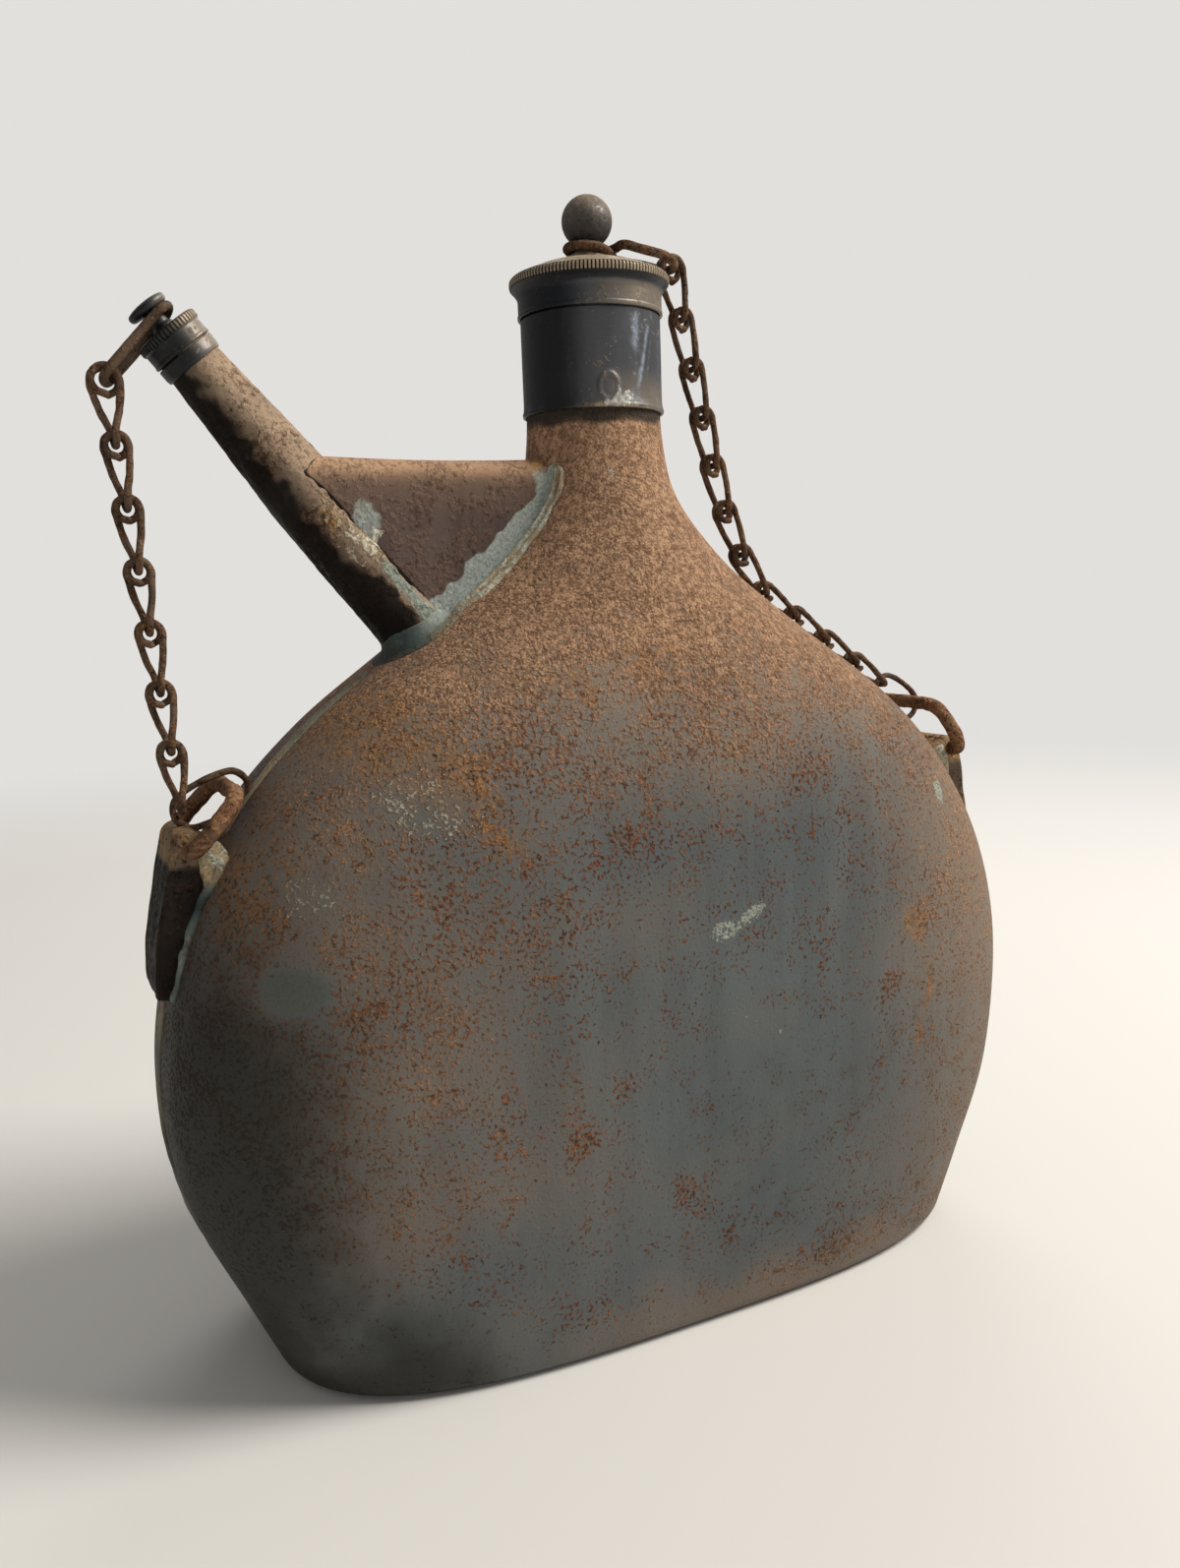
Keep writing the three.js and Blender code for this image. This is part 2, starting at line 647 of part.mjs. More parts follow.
addPiece('spout_button', inSpout(revolve([
  [0, spoutCapTop + 0.2],
  [button.stem + 0.6, spoutCapTop + 0.2],
  [button.stem, spoutCapTop + 0.7],
  [button.stem, buttonBottom],
  [button.radius - 0.4, buttonBottom],
  [button.radius, buttonBottom + 0.4],
  [button.radius - 0.4, buttonBottom + button.thickness],
  [0, buttonBottom + button.thickness + 0.2],
], 20)), darkTin);

// Long pear-shaped link: a loop round the button's stem that narrows to the chain's end
const groove = new THREE.Vector3(0, 0, pearHeight).applyMatrix4(spoutPlace);
const chainTop = groove.clone().add(new THREE.Vector3(leftChain.hang[0], 0, leftChain.hang[1]));
const pearAxis = chainTop.clone().sub(groove);
const pearLength = pearAxis.length();
pearAxis.normalize();
const pearPath = [];
for (let i = 0; i < 7; i += 1) {
  const turn = THREE.MathUtils.degToRad(75 + (210 * i) / 6);
  pearPath.push([pearBig * Math.cos(turn), pearBig * Math.sin(turn)]);
}
for (let i = 0; i < 6; i += 1) {
  const turn = THREE.MathUtils.degToRad(i < 3 ? -80 + 40 * i : 40 * i - 120);
  const flat = i < 3 ? -pear.flat : pear.flat;
  pearPath.push([pearLength - pear.small + pear.small * Math.cos(turn), flat + pear.small * Math.sin(turn)]);
}
const pearPoints = pearPath.map(([along, across]) => {
  const point = groove.clone().addScaledVector(pearAxis, along);
  return [point.x, across, point.z];
});
addPiece('spout_pear_link', wire(pearPoints, pear.wire, 26, 6, true), rustyWire);

// Chain link: one wire bent into a bow at the lower end and two curled eyes, side by side, at the upper end.
// The bow lies across the eyes, so each bow hangs through both eyes of the next link.
function chainLink(from, to) {
  const along = new THREE.Vector3(to[0] - from[0], 0, to[1] - from[1]);
  const pitch = along.length();
  along.normalize();
  const across = new THREE.Vector3(along.z, 0, -along.x);
  const leg = (s) => {
    const curl = [0, 45, 90, 135, 180, 222].map((degrees) => {
      const turn = THREE.MathUtils.degToRad(degrees);
      return [-eyeRadius * Math.sin(turn), s * eyeRadius * Math.cos(turn), s * eyeSpread];
    });
    return [
      [pitch - 0.25, 0, s * 1.75],
      [pitch - 1.4, s * 0.1, s * (bowHalf - 0.2)],
      [pitch - 3.1, s * 0.3, s * bowHalf],
      [pitch - 6.2, s * 1.35, s * 2.15],
      [1.6, s * 2.05, s * (eyeSpread + 0.1)],
      ...curl,
    ];
  };
  const path = [...leg(-1).reverse(), [pitch, 0, 0], ...leg(1)];
  return path.map(([u, v, w]) => [
    from[0] + along.x * u + across.x * v,
    w,
    from[1] + along.z * u + across.z * v,
  ]);
}

// Plain oval end link round the last bow and the strap ring's bar, with room for both to slide.
function ovalLink(from, to) {
  const along = new THREE.Vector2(to[0] - from[0], to[1] - from[1]);
  const length = along.length();
  along.normalize();
  const across = [-along.y, along.x];
  const start = endLink.half - 2 * chain.wire - clearance;
  const stop = length - endLink.half + ring.wire + chain.wire + endLink.slack;
  const path = [];
  [[start, 90], [stop, -90]].forEach(([centre, first]) => {
    for (let i = 0; i < 5; i += 1) {
      const turn = THREE.MathUtils.degToRad(first + 45 * i);
      path.push([centre + endLink.half * Math.cos(turn), endLink.half * Math.sin(turn) - endLink.drop]);
    }
  });
  return path.map(([u, v]) => [
    from[0] + along.x * u + across[0] * v,
    0,
    from[1] + along.y * u + across[1] * v,
  ]);
}

const ringX = skinX(ringZ, 0) + ring.stand;
function ringTip(side) {
  const lean = THREE.MathUtils.degToRad(ring.lean);
  return [side * (ringX - ring.height * Math.sin(lean)), ringZ + ring.height * Math.cos(lean)];
}

// Both chains hang between a cap and a ring, and each is cut into equal lengths.
const linkSteps = 24;
const above = (side, [x, z]) => {
  const tip = ringTip(side);
  return new THREE.Vector2(tip[0] + x, tip[1] + z);
};
const leftRun = new THREE.LineCurve(new THREE.Vector2(chainTop.x, chainTop.z), above(-1, leftChain.ringEnd));
const drape = rightChain.drape.map(([x, share]) => new THREE.Vector2(x, share * bodyTop));
const rightRun = new THREE.SplineCurve([
  new THREE.Vector2(hook.reach, hookFar),
  ...drape,
  above(1, rightChain.ringEnd),
]);
const joints = {
  left: leftRun.getSpacedPoints(leftChain.links).map((point) => point.toArray()),
  right: rightRun.getSpacedPoints(rightChain.links).map((point) => point.toArray()),
};
['left', 'right'].forEach((sideName) => {
  const points = joints[sideName];
  for (let i = 0; i + 1 < points.length; i += 1) {
    const link = wire(chainLink(points[i], points[i + 1]), chain.wire, linkSteps, 5, false);
    addPiece(`${sideName}_chain_link_${i + 1}`, link, rustyWire);
  }
  const tip = ringTip(sideName === 'left' ? -1 : 1);
  const last = points[points.length - 1];
  addPiece(`${sideName}_end_link`, wire(ovalLink(last, tip), chain.wire, 20, 6, true), rustyWire);
});

// Strap rings and the folded lugs that hold them
function strapRing(side) {
  const lean = THREE.MathUtils.degToRad(ring.lean);
  const quarter = [
    [0, 0],
    [0.62, 0],
    [0.93, 0.06],
    [1, 0.24],
    [0.93, 0.52],
    [0.72, 0.82],
    [0.36, 0.98],
  ];
  const right = quarter.map(([y, h]) => [y * ring.half, h * ring.height]);
  const left = right.slice(1).reverse().map(([y, h]) => [-y, h]);
  return [...right, [0, ring.height], ...left].map(([y, h]) => [
    side * (ringX - h * Math.sin(lean)),
    y,
    ringZ + h * Math.cos(lean),
  ]);
}

const chapeX = skinX(chapeBottom, 0) + chape.stand;
function lug(side) {
  const bore = ring.wire + clearance;
  const outer = bore + chape.sheet;
  const shape = new THREE.Shape();
  shape.moveTo(side * chapeX, chapeBottom);
  for (let i = 0; i <= 10; i += 1) {
    const turn = THREE.MathUtils.degToRad(12 + 19 * i);
    shape.lineTo(side * (ringX + outer * Math.cos(turn)), ringZ + outer * Math.sin(turn));
  }
  shape.lineTo(side * (ringX - chape.bite), ringZ - chape.bite);
  shape.lineTo(side * (chapeX - chape.bite), chapeBottom - 0.6);
  shape.closePath();
  const hole = new THREE.Path();
  hole.absarc(side * ringX, ringZ, bore, 0, 2 * Math.PI, side > 0);
  shape.holes.push(hole);
  return toGeometry(toManifold(slab(shape, chape.half)).subtract(bodyCutter));
}
addPiece('left_strap_ring', wire(strapRing(-1), ring.wire, 30, 6, true), rustyWire);
addPiece('right_strap_ring', wire(strapRing(1), ring.wire, 30, 6, true), rustyWire);
addPiece('left_ring_lug', lug(-1), darkTin);
addPiece('right_ring_lug', lug(1), darkTin);

export default canteen;
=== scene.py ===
import math

import bmesh
import bpy
import numpy as np
from mathutils import Matrix, Vector


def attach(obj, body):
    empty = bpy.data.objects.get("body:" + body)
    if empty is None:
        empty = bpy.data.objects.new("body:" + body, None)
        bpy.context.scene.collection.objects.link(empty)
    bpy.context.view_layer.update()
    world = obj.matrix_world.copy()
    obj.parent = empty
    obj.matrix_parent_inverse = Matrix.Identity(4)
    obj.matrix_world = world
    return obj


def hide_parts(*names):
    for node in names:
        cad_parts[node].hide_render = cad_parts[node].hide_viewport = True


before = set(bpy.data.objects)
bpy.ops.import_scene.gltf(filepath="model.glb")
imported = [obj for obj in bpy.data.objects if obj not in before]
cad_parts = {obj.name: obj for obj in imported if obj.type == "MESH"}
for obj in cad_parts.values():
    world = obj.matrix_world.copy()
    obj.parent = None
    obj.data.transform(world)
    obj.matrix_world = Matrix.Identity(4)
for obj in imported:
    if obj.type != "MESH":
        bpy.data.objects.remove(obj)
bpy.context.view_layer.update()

mm = 0.001
print("frame loaded:", len(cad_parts), "nodes")

# Camera at the photographed angle, in the canteen's own frame
cameraLook = {
    "place": (-124.93, -247.23, 155.24),
    "right": (0.8953, -0.4441, -0.0353),
    "up": (0.0996, 0.1222, 0.9875),
    "forward": (0.4342, 0.8876, -0.1536),
    "lens": 28.25,
}


def addCamera(look):
    # Axes of the camera are its right, its up and the way back from what it looks at
    data = bpy.data.cameras.new("photoCamera")
    data.lens = look["lens"]
    data.sensor_width = 36
    data.clip_start = 0.01
    data.clip_end = 60
    axes = np.array([look["right"], look["up"], -np.array(look["forward"])]).T
    axes = np.linalg.qr(axes)[0] * np.sign(np.diag(np.linalg.qr(axes)[1]))
    place = np.eye(4)
    place[:3, :3] = axes
    place[:3, 3] = np.array(look["place"]) * mm
    camera = bpy.data.objects.new("photoCamera", data)
    camera.matrix_world = Matrix(place.tolist())
    bpy.context.scene.collection.objects.link(camera)
    bpy.context.scene.camera = camera


addCamera(cameraLook)
bpy.context.scene.view_settings.view_transform = "Standard"


# Colours are written as 0-255 screen values
def colour(red, green, blue):
    screen = np.array([red, green, blue]) / 255
    light = np.where(screen <= 0.04045, screen / 12.92, ((screen + 0.055) / 1.055) ** 2.4)
    return (*light.tolist(), 1.0)


# A finish with its screen tones turned into light
def inLight(look):
    return {key: colour(*value) if isinstance(value, tuple) else value for key, value in look.items()}


# Shader maths: a socket that takes part in Python expressions
class Flow:
    def __init__(self, tree, socket):
        self.tree = tree
        self.socket = socket

    # Any node: its type, its settings first, then values or links for its sockets
    def node(self, kind, settings=None, inputs=None, out=0):
        made = self.tree.nodes.new("ShaderNode" + kind)
        for key, value in (settings or {}).items():
            setattr(made, key, value)
        for key, value in (inputs or {}).items():
            if isinstance(value, Flow):
                self.tree.links.new(value.socket, made.inputs[key])
            else:
                made.inputs[key].default_value = value
        return Flow(self.tree, made.outputs[out])

    # One Math node
    def sum(self, kind, first, second):
        return self.node("Math", {"operation": kind}, {0: first, 1: second})

    def __add__(self, other):
        return self.sum("ADD", self, other)

    def __radd__(self, other):
        return self.sum("ADD", other, self)

    def __sub__(self, other):
        return self.sum("SUBTRACT", self, other)

    def __rsub__(self, other):
        return self.sum("SUBTRACT", other, self)

    def __mul__(self, other):
        return self.sum("MULTIPLY", self, other)

    def __rmul__(self, other):
        return self.sum("MULTIPLY", other, self)

    def noise(self, size, detail=3.0, rough=0.55, squeeze=None):
        # Noise whose main lumps are size mm across; squeeze stretches it along the axes
        where = self
        if squeeze:
            where = self.node("VectorMath", {"operation": "MULTIPLY"}, {0: self, 1: squeeze})
        inputs = {"Vector": where, "Scale": 1000 / size, "Detail": detail, "Roughness": rough}
        return self.node("TexNoise", None, inputs)

    def cells(self, size):
        # Distance to the nearest of points strewn about size mm apart
        inputs = {"Vector": self, "Scale": 1000 / size}
        return self.node("TexVoronoi", {"feature": "F1"}, inputs)

    def ramp(self, low, high):
        # 0 below low, 1 above high, smooth between
        return self.node("MapRange", {"interpolation_type": "SMOOTHSTEP"}, {0: self, 1: low, 2: high})

    def tint(self, under, over):
        # Colour under where this is 0, over where it is 1
        settings = {"data_type": "RGBA", "clamp_factor": True}
        return self.node("Mix", settings, {0: self, 6: under, 7: over}, 2)


# A material, its shader and the flow of Object coordinates
def newMaterial(name):
    material = bpy.data.materials.new(name)
    material.use_nodes = True
    tree = material.node_tree
    shader = tree.nodes["Principled BSDF"]
    place = Flow(tree, tree.nodes.new("ShaderNodeTexCoord").outputs["Object"])
    return material, shader, place


# A mark painted on the mesh, from 0 to 1
def readMark(place, name):
    return place.node("Attribute", {"attribute_name": name}, None, 2)


# Old tinned or bare metal: bare tone, tan film, raised rust specks, then stains, painted light and painted
# shade, from marks painted on the mesh.
# rust = noise above a threshold that falls as the painted cover rises
def agedMetal(name, look):
    look = inLight(look)
    material, shader, place = newMaterial(name)
    tree = place.tree
    marks = ("cover", "haze", "film", "pale", "ochre", "dark")
    cover, haze, film, pale, ochre, dark = (readMark(place, mark) for mark in marks)
    fine = place.noise(look["grain"], 2.0, 0.5)
    clumps = place.noise(look["grain"] * 8, 3.0, 0.6)
    broad = place.noise(60, 3.0, 0.55)
    grit = place.noise(look["grain"] * 0.6, 2.0, 0.6)
    speck = place.noise(look["grain"] * 1.8, 1.0, 0.5)
    lumps = fine + (clumps - 0.5) * look["clump"] + (broad - 0.5) * 0.15
    above = lumps - (0.5 + (0.5 - cover) * 0.6)
    rust = above.ramp(-0.015, 0.045)
    core = above.ramp(0.05, 0.2)

    streaks = place.noise(look["streak"], 3.0, 0.6, (1.0, 1.0, 0.15))
    bare = streaks.ramp(0.35, 0.7).tint(look["bare"], look["bareLow"])
    bare = (broad.ramp(0.35, 0.65) * 0.6).tint(bare, look["bareTurn"])
    # Tan from this mark is partly a real film and partly painted light on sides that face the light
    hazeAndLightMask = haze * (0.5 + clumps)
    hazeAndLightMask = haze.node("Clamp", None, {0: hazeAndLightMask})
    ground = (hazeAndLightMask * look["hazeAndLightShare"]).tint(bare, look["haze"])
    ground = (grit.ramp(0.5, 0.72) * look["gritShare"]).tint(ground, look["bareLow"])
    grain = grit * 0.6 + speck * 0.4
    brown = grain.ramp(0.4, 0.5).tint(look["rustLow"], look["rust"])
    brown = grain.ramp(0.54, 0.66).tint(brown, look["rustTurn"])
    tan = grain.ramp(0.4, 0.62).tint(look["tanLow"], look["tan"])
    body = (rust * look["rustShare"]).tint(ground, (hazeAndLightMask * 0.85).tint(brown, tan))
    body = (core * look["coreShare"] * (1 - hazeAndLightMask * 0.8)).tint(body, look["rustLow"])
    ochreMask = (ochre + (clumps - 0.5) * 0.7 + (fine - 0.5) * 0.7).ramp(0.2, 0.8)
    yellow = grain.ramp(0.35, 0.6).tint(look["rustLow"], look["ochre"])
    body = (ochreMask * look["ochreShare"]).tint(body, yellow)
    # Dark from this mark is partly dark paint and partly painted shade on sides and hollows away from the
    # light
    darkMask = (dark + (clumps - 0.5) * 0.4).ramp(0.15, 0.95)
    body = (darkMask * 0.92).tint(body, look["dark"])
    # The pale film also carries a painted sheen on the neck collar
    filmMask = (film + (fine - 0.5) * 0.35 + (clumps - 0.5) * 0.3).ramp(0.2, 0.75)
    body = (filmMask * 0.92).tint(body, grit.ramp(0.35, 0.65).tint(look["filmLow"], look["film"]))
    paleMask = (pale + (fine - 0.5) * 1.1 + (clumps - 0.5) * 0.6).ramp(0.42, 0.62)
    body = (paleMask * 0.85).tint(body, grit.ramp(0.4, 0.65).tint(look["paleLow"], look["pale"]))
    tree.links.new(body.socket, shader.inputs["Base Color"])

    roughness = look["bareRough"] + rust * (look["rustRough"] - look["bareRough"])
    roughness = roughness + (grit - 0.5) * 0.2 + hazeAndLightMask * 0.12
    tree.links.new(roughness.socket, shader.inputs["Roughness"])
    metal = (1 - rust) * (1 - hazeAndLightMask * 0.7) * look["metal"]
    tree.links.new(metal.socket, shader.inputs["Metallic"])
    shader.inputs["Specular IOR Level"].default_value = look["gloss"]
    height = rust * 0.4 + core * 0.35 + fine * 0.3 + grit * (0.12 + hazeAndLightMask * 0.5) + paleMask * 0.2
    bump = place.node("Bump", None, {"Strength": 1.0, "Distance": look["relief"] * mm, "Height": height})
    tree.links.new(bump.socket, shader.inputs["Normal"])
    return material


# In each finish the dark tone serves dark paint and painted shade, and the tan haze tone a tan film and
# painted light
bodyFinish = {
    "grain": 0.76, "clump": 0.44, "coreShare": 0.55, "gritShare": 0.3, "ochreShare": 0.75, "streak": 9,
    "bare": (92, 97, 97), "bareLow": (81, 86, 87), "bareTurn": (84, 90, 92), "haze": (146, 120, 95),
    "hazeAndLightShare": 0.9, "rust": (110, 68, 44), "rustLow": (56, 36, 27), "rustTurn": (148, 97, 60),
    "rustShare": 0.95, "tan": (202, 164, 130), "tanLow": (132, 99, 74), "ochre": (160, 112, 56),
    "dark": (38, 38, 33), "film": (84, 89, 80), "filmLow": (74, 79, 71), "pale": (172, 176, 161),
    "paleLow": (140, 146, 134), "bareRough": 0.58, "rustRough": 0.88, "gloss": 0.3, "metal": 0.16,
    "relief": 0.42,
}
tinFinish = {
    "grain": 1.1, "clump": 0.8, "coreShare": 0.4, "gritShare": 0.2, "ochreShare": 0.75, "streak": 5,
    "bare": (68, 74, 86), "bareLow": (46, 52, 60), "bareTurn": (57, 64, 74), "haze": (164, 147, 122),
    "hazeAndLightShare": 0.95, "rust": (92, 80, 68), "rustLow": (54, 48, 43), "rustTurn": (104, 92, 78),
    "rustShare": 0.6, "tan": (184, 165, 136), "tanLow": (124, 110, 92), "ochre": (170, 146, 108),
    "dark": (13, 15, 19), "pale": (206, 202, 190), "paleLow": (146, 146, 142), "film": (156, 166, 182),
    "filmLow": (118, 128, 142), "bareRough": 0.4, "rustRough": 0.62, "gloss": 0.4, "metal": 0.4,
    "relief": 0.1,
}
spoutFinish = {
    "grain": 1.3, "clump": 0.7, "coreShare": 0.6, "gritShare": 0.5, "ochreShare": 0.8, "streak": 6,
    "bare": (86, 76, 66), "bareLow": (50, 42, 36), "bareTurn": (74, 66, 58), "haze": (172, 148, 124),
    "hazeAndLightShare": 0.9, "rust": (104, 81, 64), "rustLow": (44, 34, 28), "rustTurn": (124, 98, 76),
    "rustShare": 0.85, "tan": (194, 168, 142), "tanLow": (118, 97, 79), "ochre": (172, 130, 72),
    "dark": (22, 20, 19), "pale": (220, 212, 192), "paleLow": (160, 148, 124), "film": (150, 160, 150),
    "filmLow": (116, 128, 119), "bareRough": 0.55, "rustRough": 0.76, "gloss": 0.05, "metal": 0.15,
    "relief": 0.5,
}
sheetFinish = dict(
    spoutFinish, grain=1.1, coreShare=0.3, gritShare=0.35, bare=(98, 84, 78), bareLow=(78, 64, 60),
    bareTurn=(90, 78, 73), haze=(188, 152, 120), rust=(102, 83, 74), rustLow=(72, 57, 51),
    rustTurn=(112, 92, 82), tan=(200, 164, 131), tanLow=(136, 109, 88), pale=(214, 208, 190),
    paleLow=(156, 154, 140), film=(166, 173, 166), filmLow=(140, 148, 142), relief=0.2,
)
solderFinish = dict(
    tinFinish, bare=(104, 118, 114), bareLow=(78, 92, 90), bareTurn=(92, 108, 104),
    haze=(168, 150, 120), rust=(132, 113, 86), rustLow=(88, 74, 58), rustTurn=(148, 130, 100),
    tan=(192, 172, 138), tanLow=(138, 122, 98), ochre=(184, 160, 118), dark=(30, 38, 38),
    film=(164, 172, 164), filmLow=(138, 147, 140), pale=(208, 202, 182), paleLow=(150, 156, 144),
    bareRough=0.66, gloss=0.2, metal=0.1, relief=0.3,
)
wireFinish = dict(
    spoutFinish, grain=0.9, bare=(98, 86, 76), bareLow=(70, 60, 52), bareTurn=(86, 73, 63),
    haze=(124, 96, 74), rust=(112, 84, 64), rustLow=(58, 44, 36), rustTurn=(138, 106, 80),
    tan=(142, 112, 88), tanLow=(86, 66, 52), rustShare=0.95, pale=(176, 164, 146),
    paleLow=(140, 126, 110), relief=0.26,
)
ringFinish = dict(
    wireFinish, grain=1.1, haze=(150, 112, 82), rust=(140, 100, 70), rustLow=(78, 54, 40),
    rustTurn=(164, 120, 84), tan=(172, 132, 100), tanLow=(110, 80, 60), ochre=(184, 136, 76),
    relief=0.4,
)
leatherFinish = {
    "grain": 1.1, "tone": (92, 62, 42), "toneLow": (64, 42, 28), "rough": 0.78, "relief": 0.12,
}


def oldLeather(name, look):
    # Cells for the pores, noise for the worn tone
    look = inLight(look)
    material, shader, place = newMaterial(name)
    pores = place.cells(look["grain"])
    worn = place.noise(6, 4.0, 0.6)
    tone = (worn * 0.6 + pores * 0.5).ramp(0.3, 0.75).tint(look["toneLow"], look["tone"])
    place.tree.links.new(tone.socket, shader.inputs["Base Color"])
    roughness = look["rough"] + (worn - 0.5) * 0.2
    place.tree.links.new(roughness.socket, shader.inputs["Roughness"])
    bump = place.node("Bump", None, {"Distance": look["relief"] * mm, "Height": pores + worn * 0.4})
    place.tree.links.new(bump.socket, shader.inputs["Normal"])
    return material


finishes = {
    "body": agedMetal("rustyTinnedSteel", bodyFinish),
    "tin": agedMetal("darkTin", tinFinish),
    "spout": agedMetal("brownSpoutSteel", spoutFinish),
    "sheet": agedMetal("gussetSheet", sheetFinish),
    "solder": agedMetal("greySolder", solderFinish),
    "wire": agedMetal("rustyWire", wireFinish),
    "ring": agedMetal("rustyRingWire", ringFinish),
    "leather": oldLeather("washerLeather", leatherFinish),
}
print("finishes:", ", ".join(finishes))


# Faces of a rows x columns grid of points, closed round either way if asked
def gridFaces(rows, columns, closeRows=False, closeColumns=False):
    r = np.arange(rows if closeRows else rows - 1)[:, None]
    c = np.arange(columns if closeColumns else columns - 1)[None, :]
    r2 = (r + 1) % rows
    c2 = (c + 1) % columns
    corners = [r * columns + c, r * columns + c2, r2 * columns + c2, r2 * columns + c]
    return np.stack(corners, -1).reshape(-1, 4)


# One piece from grids of points in mm: doubles merged, faces turned outwards, marks kept as attributes
def addPiece(name, body, node, finish, grids, marks=None, sharp=None):
    points = np.concatenate([grid.reshape(-1, 3) for grid, _, _ in grids])
    starts = np.cumsum([0] + [grid.shape[0] * grid.shape[1] for grid, _, _ in grids])
    faces = np.concatenate([
        gridFaces(grid.shape[0], grid.shape[1], closeRows, closeColumns) + start
        for (grid, closeRows, closeColumns), start in zip(grids, starts)
    ])
    mesh = bpy.data.meshes.new(name)
    mesh.from_pydata((points * mm).tolist(), [], faces.tolist())
    for mark, values in (marks(points) if marks else {}).items():
        layer = mesh.attributes.new(mark, "FLOAT", "POINT")
        layer.data.foreach_set("value", np.broadcast_to(values, len(points)).astype(np.float32))
    work = bmesh.new()
    work.from_mesh(mesh)
    bmesh.ops.remove_doubles(work, verts=work.verts, dist=2e-6)
    bmesh.ops.recalc_face_normals(work, faces=work.faces)
    work.to_mesh(mesh)
    work.free()
    mesh.polygons.foreach_set("use_smooth", np.ones(len(mesh.polygons), bool))
    if sharp:
        mesh.set_sharp_from_angle(angle=math.radians(sharp))
    mesh.materials.append(finishes[finish])
    piece = bpy.data.objects.new(name, mesh)
    bpy.context.scene.collection.objects.link(piece)
    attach(piece, body)
    if node:
        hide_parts(node)
    return piece


# Smooth step of a value from low to high
def rise(value, low, high):
    t = np.clip((value - low) / (high - low), 0, 1)
    return t * t * (3 - 2 * t)


# Bell curve: 1 where the value is at, fading over the width
def peak(value, at, width):
    return np.exp(-((value - at) / width) ** 2)


# Quadratic curve from start to stop, drawn towards the knee
def arch(start, knee, stop, t):
    return start * (1 - t) ** 2 + 2 * knee * t * (1 - t) + stop * t**2


# Length along a line at each of its points
def lengths(line):
    return np.concatenate([[0], np.cumsum(np.linalg.norm(np.diff(line, axis=0), axis=1))])


# Points of a line at the wanted lengths along it
def pointsAt(line, want):
    along = lengths(line)
    return np.stack([np.interp(want, along, column) for column in line.T], 1)


# Value between low and high where a test stops being true, by halving
def turningPoint(low, high, test):
    for _ in range(40):
        middle = (low + high) / 2
        passed = test(middle)
        low, high = np.where(passed, middle, low), np.where(passed, high, middle)
    return (low + high) / 2


# Soft irregular ripple between -1 and 1: five crossed sine waves of the given length in mm
def ripple(points, length, seed):
    rng = np.random.default_rng(seed)
    ways = rng.normal(size=(5, 3))
    ways *= (2 * math.pi / length) / np.linalg.norm(ways, axis=1, keepdims=True)
    ways *= rng.uniform(0.7, 1.6, (5, 1))
    return np.sin(points @ ways.T + rng.uniform(0, 6.28, 5)).sum(-1) / 3.2


# Strongest of some soft ellipses on the front: x, z, half sizes, turn in degrees, amount
def blots(points, rows):
    x, y, z = points.T
    rows = np.array(rows, float)
    turn = np.radians(rows[:, 4])
    dx = x[:, None] - rows[:, 0]
    dz = z[:, None] - rows[:, 1]
    u = (dx * np.cos(turn) + dz * np.sin(turn)) / rows[:, 2]
    v = (dz * np.cos(turn) - dx * np.sin(turn)) / rows[:, 3]
    soft = np.exp(-np.maximum(u * u + v * v - 0.25, 0) * 1.4) * rows[:, 5]
    return np.where(y < 0, soft.max(1), 0)


# Paint whose marks only wander: base + amount * ripple of a length and a seed
def wandering(table):
    return lambda points: {
        mark: base + amount * ripple(points, length, seed)
        for mark, (base, amount, length, seed) in table.items()
    }


# Centripetal Catmull-Rom through the points, then spaced evenly along its length
def smoothPath(points, count, closed):
    p = np.asarray(points, float)
    if closed:
        knots = np.vstack([p[-1:], p, p[:2]])
    else:
        knots = np.vstack([2 * p[:1] - p[1:2], p, 2 * p[-1:] - p[-2:-1]])
    p0, p1, p2, p3 = knots[:-3], knots[1:-2], knots[2:-1], knots[3:]
    d0, d1, d2 = (np.linalg.norm(b - a, axis=1)[:, None] ** 0.5 for a, b in ((p0, p1), (p1, p2), (p2, p3)))
    m1 = ((p1 - p0) / d0 - (p2 - p0) / (d0 + d1) + (p2 - p1) / d1) * d1
    m2 = ((p2 - p1) / d1 - (p3 - p1) / (d1 + d2) + (p3 - p2) / d2) * d1
    t = np.linspace(0, 1, 80, endpoint=False)[None, :, None]
    p1, p2, m1, m2 = (a[:, None, :] for a in (p1, p2, m1, m2))
    dense = p1 * (2 * t**3 - 3 * t**2 + 1) + p2 * (3 * t**2 - 2 * t**3)
    dense = dense + m1 * (t**3 - 2 * t**2 + t) + m2 * (t**3 - t**2)
    dense = np.vstack([dense.reshape(-1, 3), knots[-2:-1]])
    return pointsAt(dense, np.linspace(0, lengths(dense)[-1], count, endpoint=not closed))


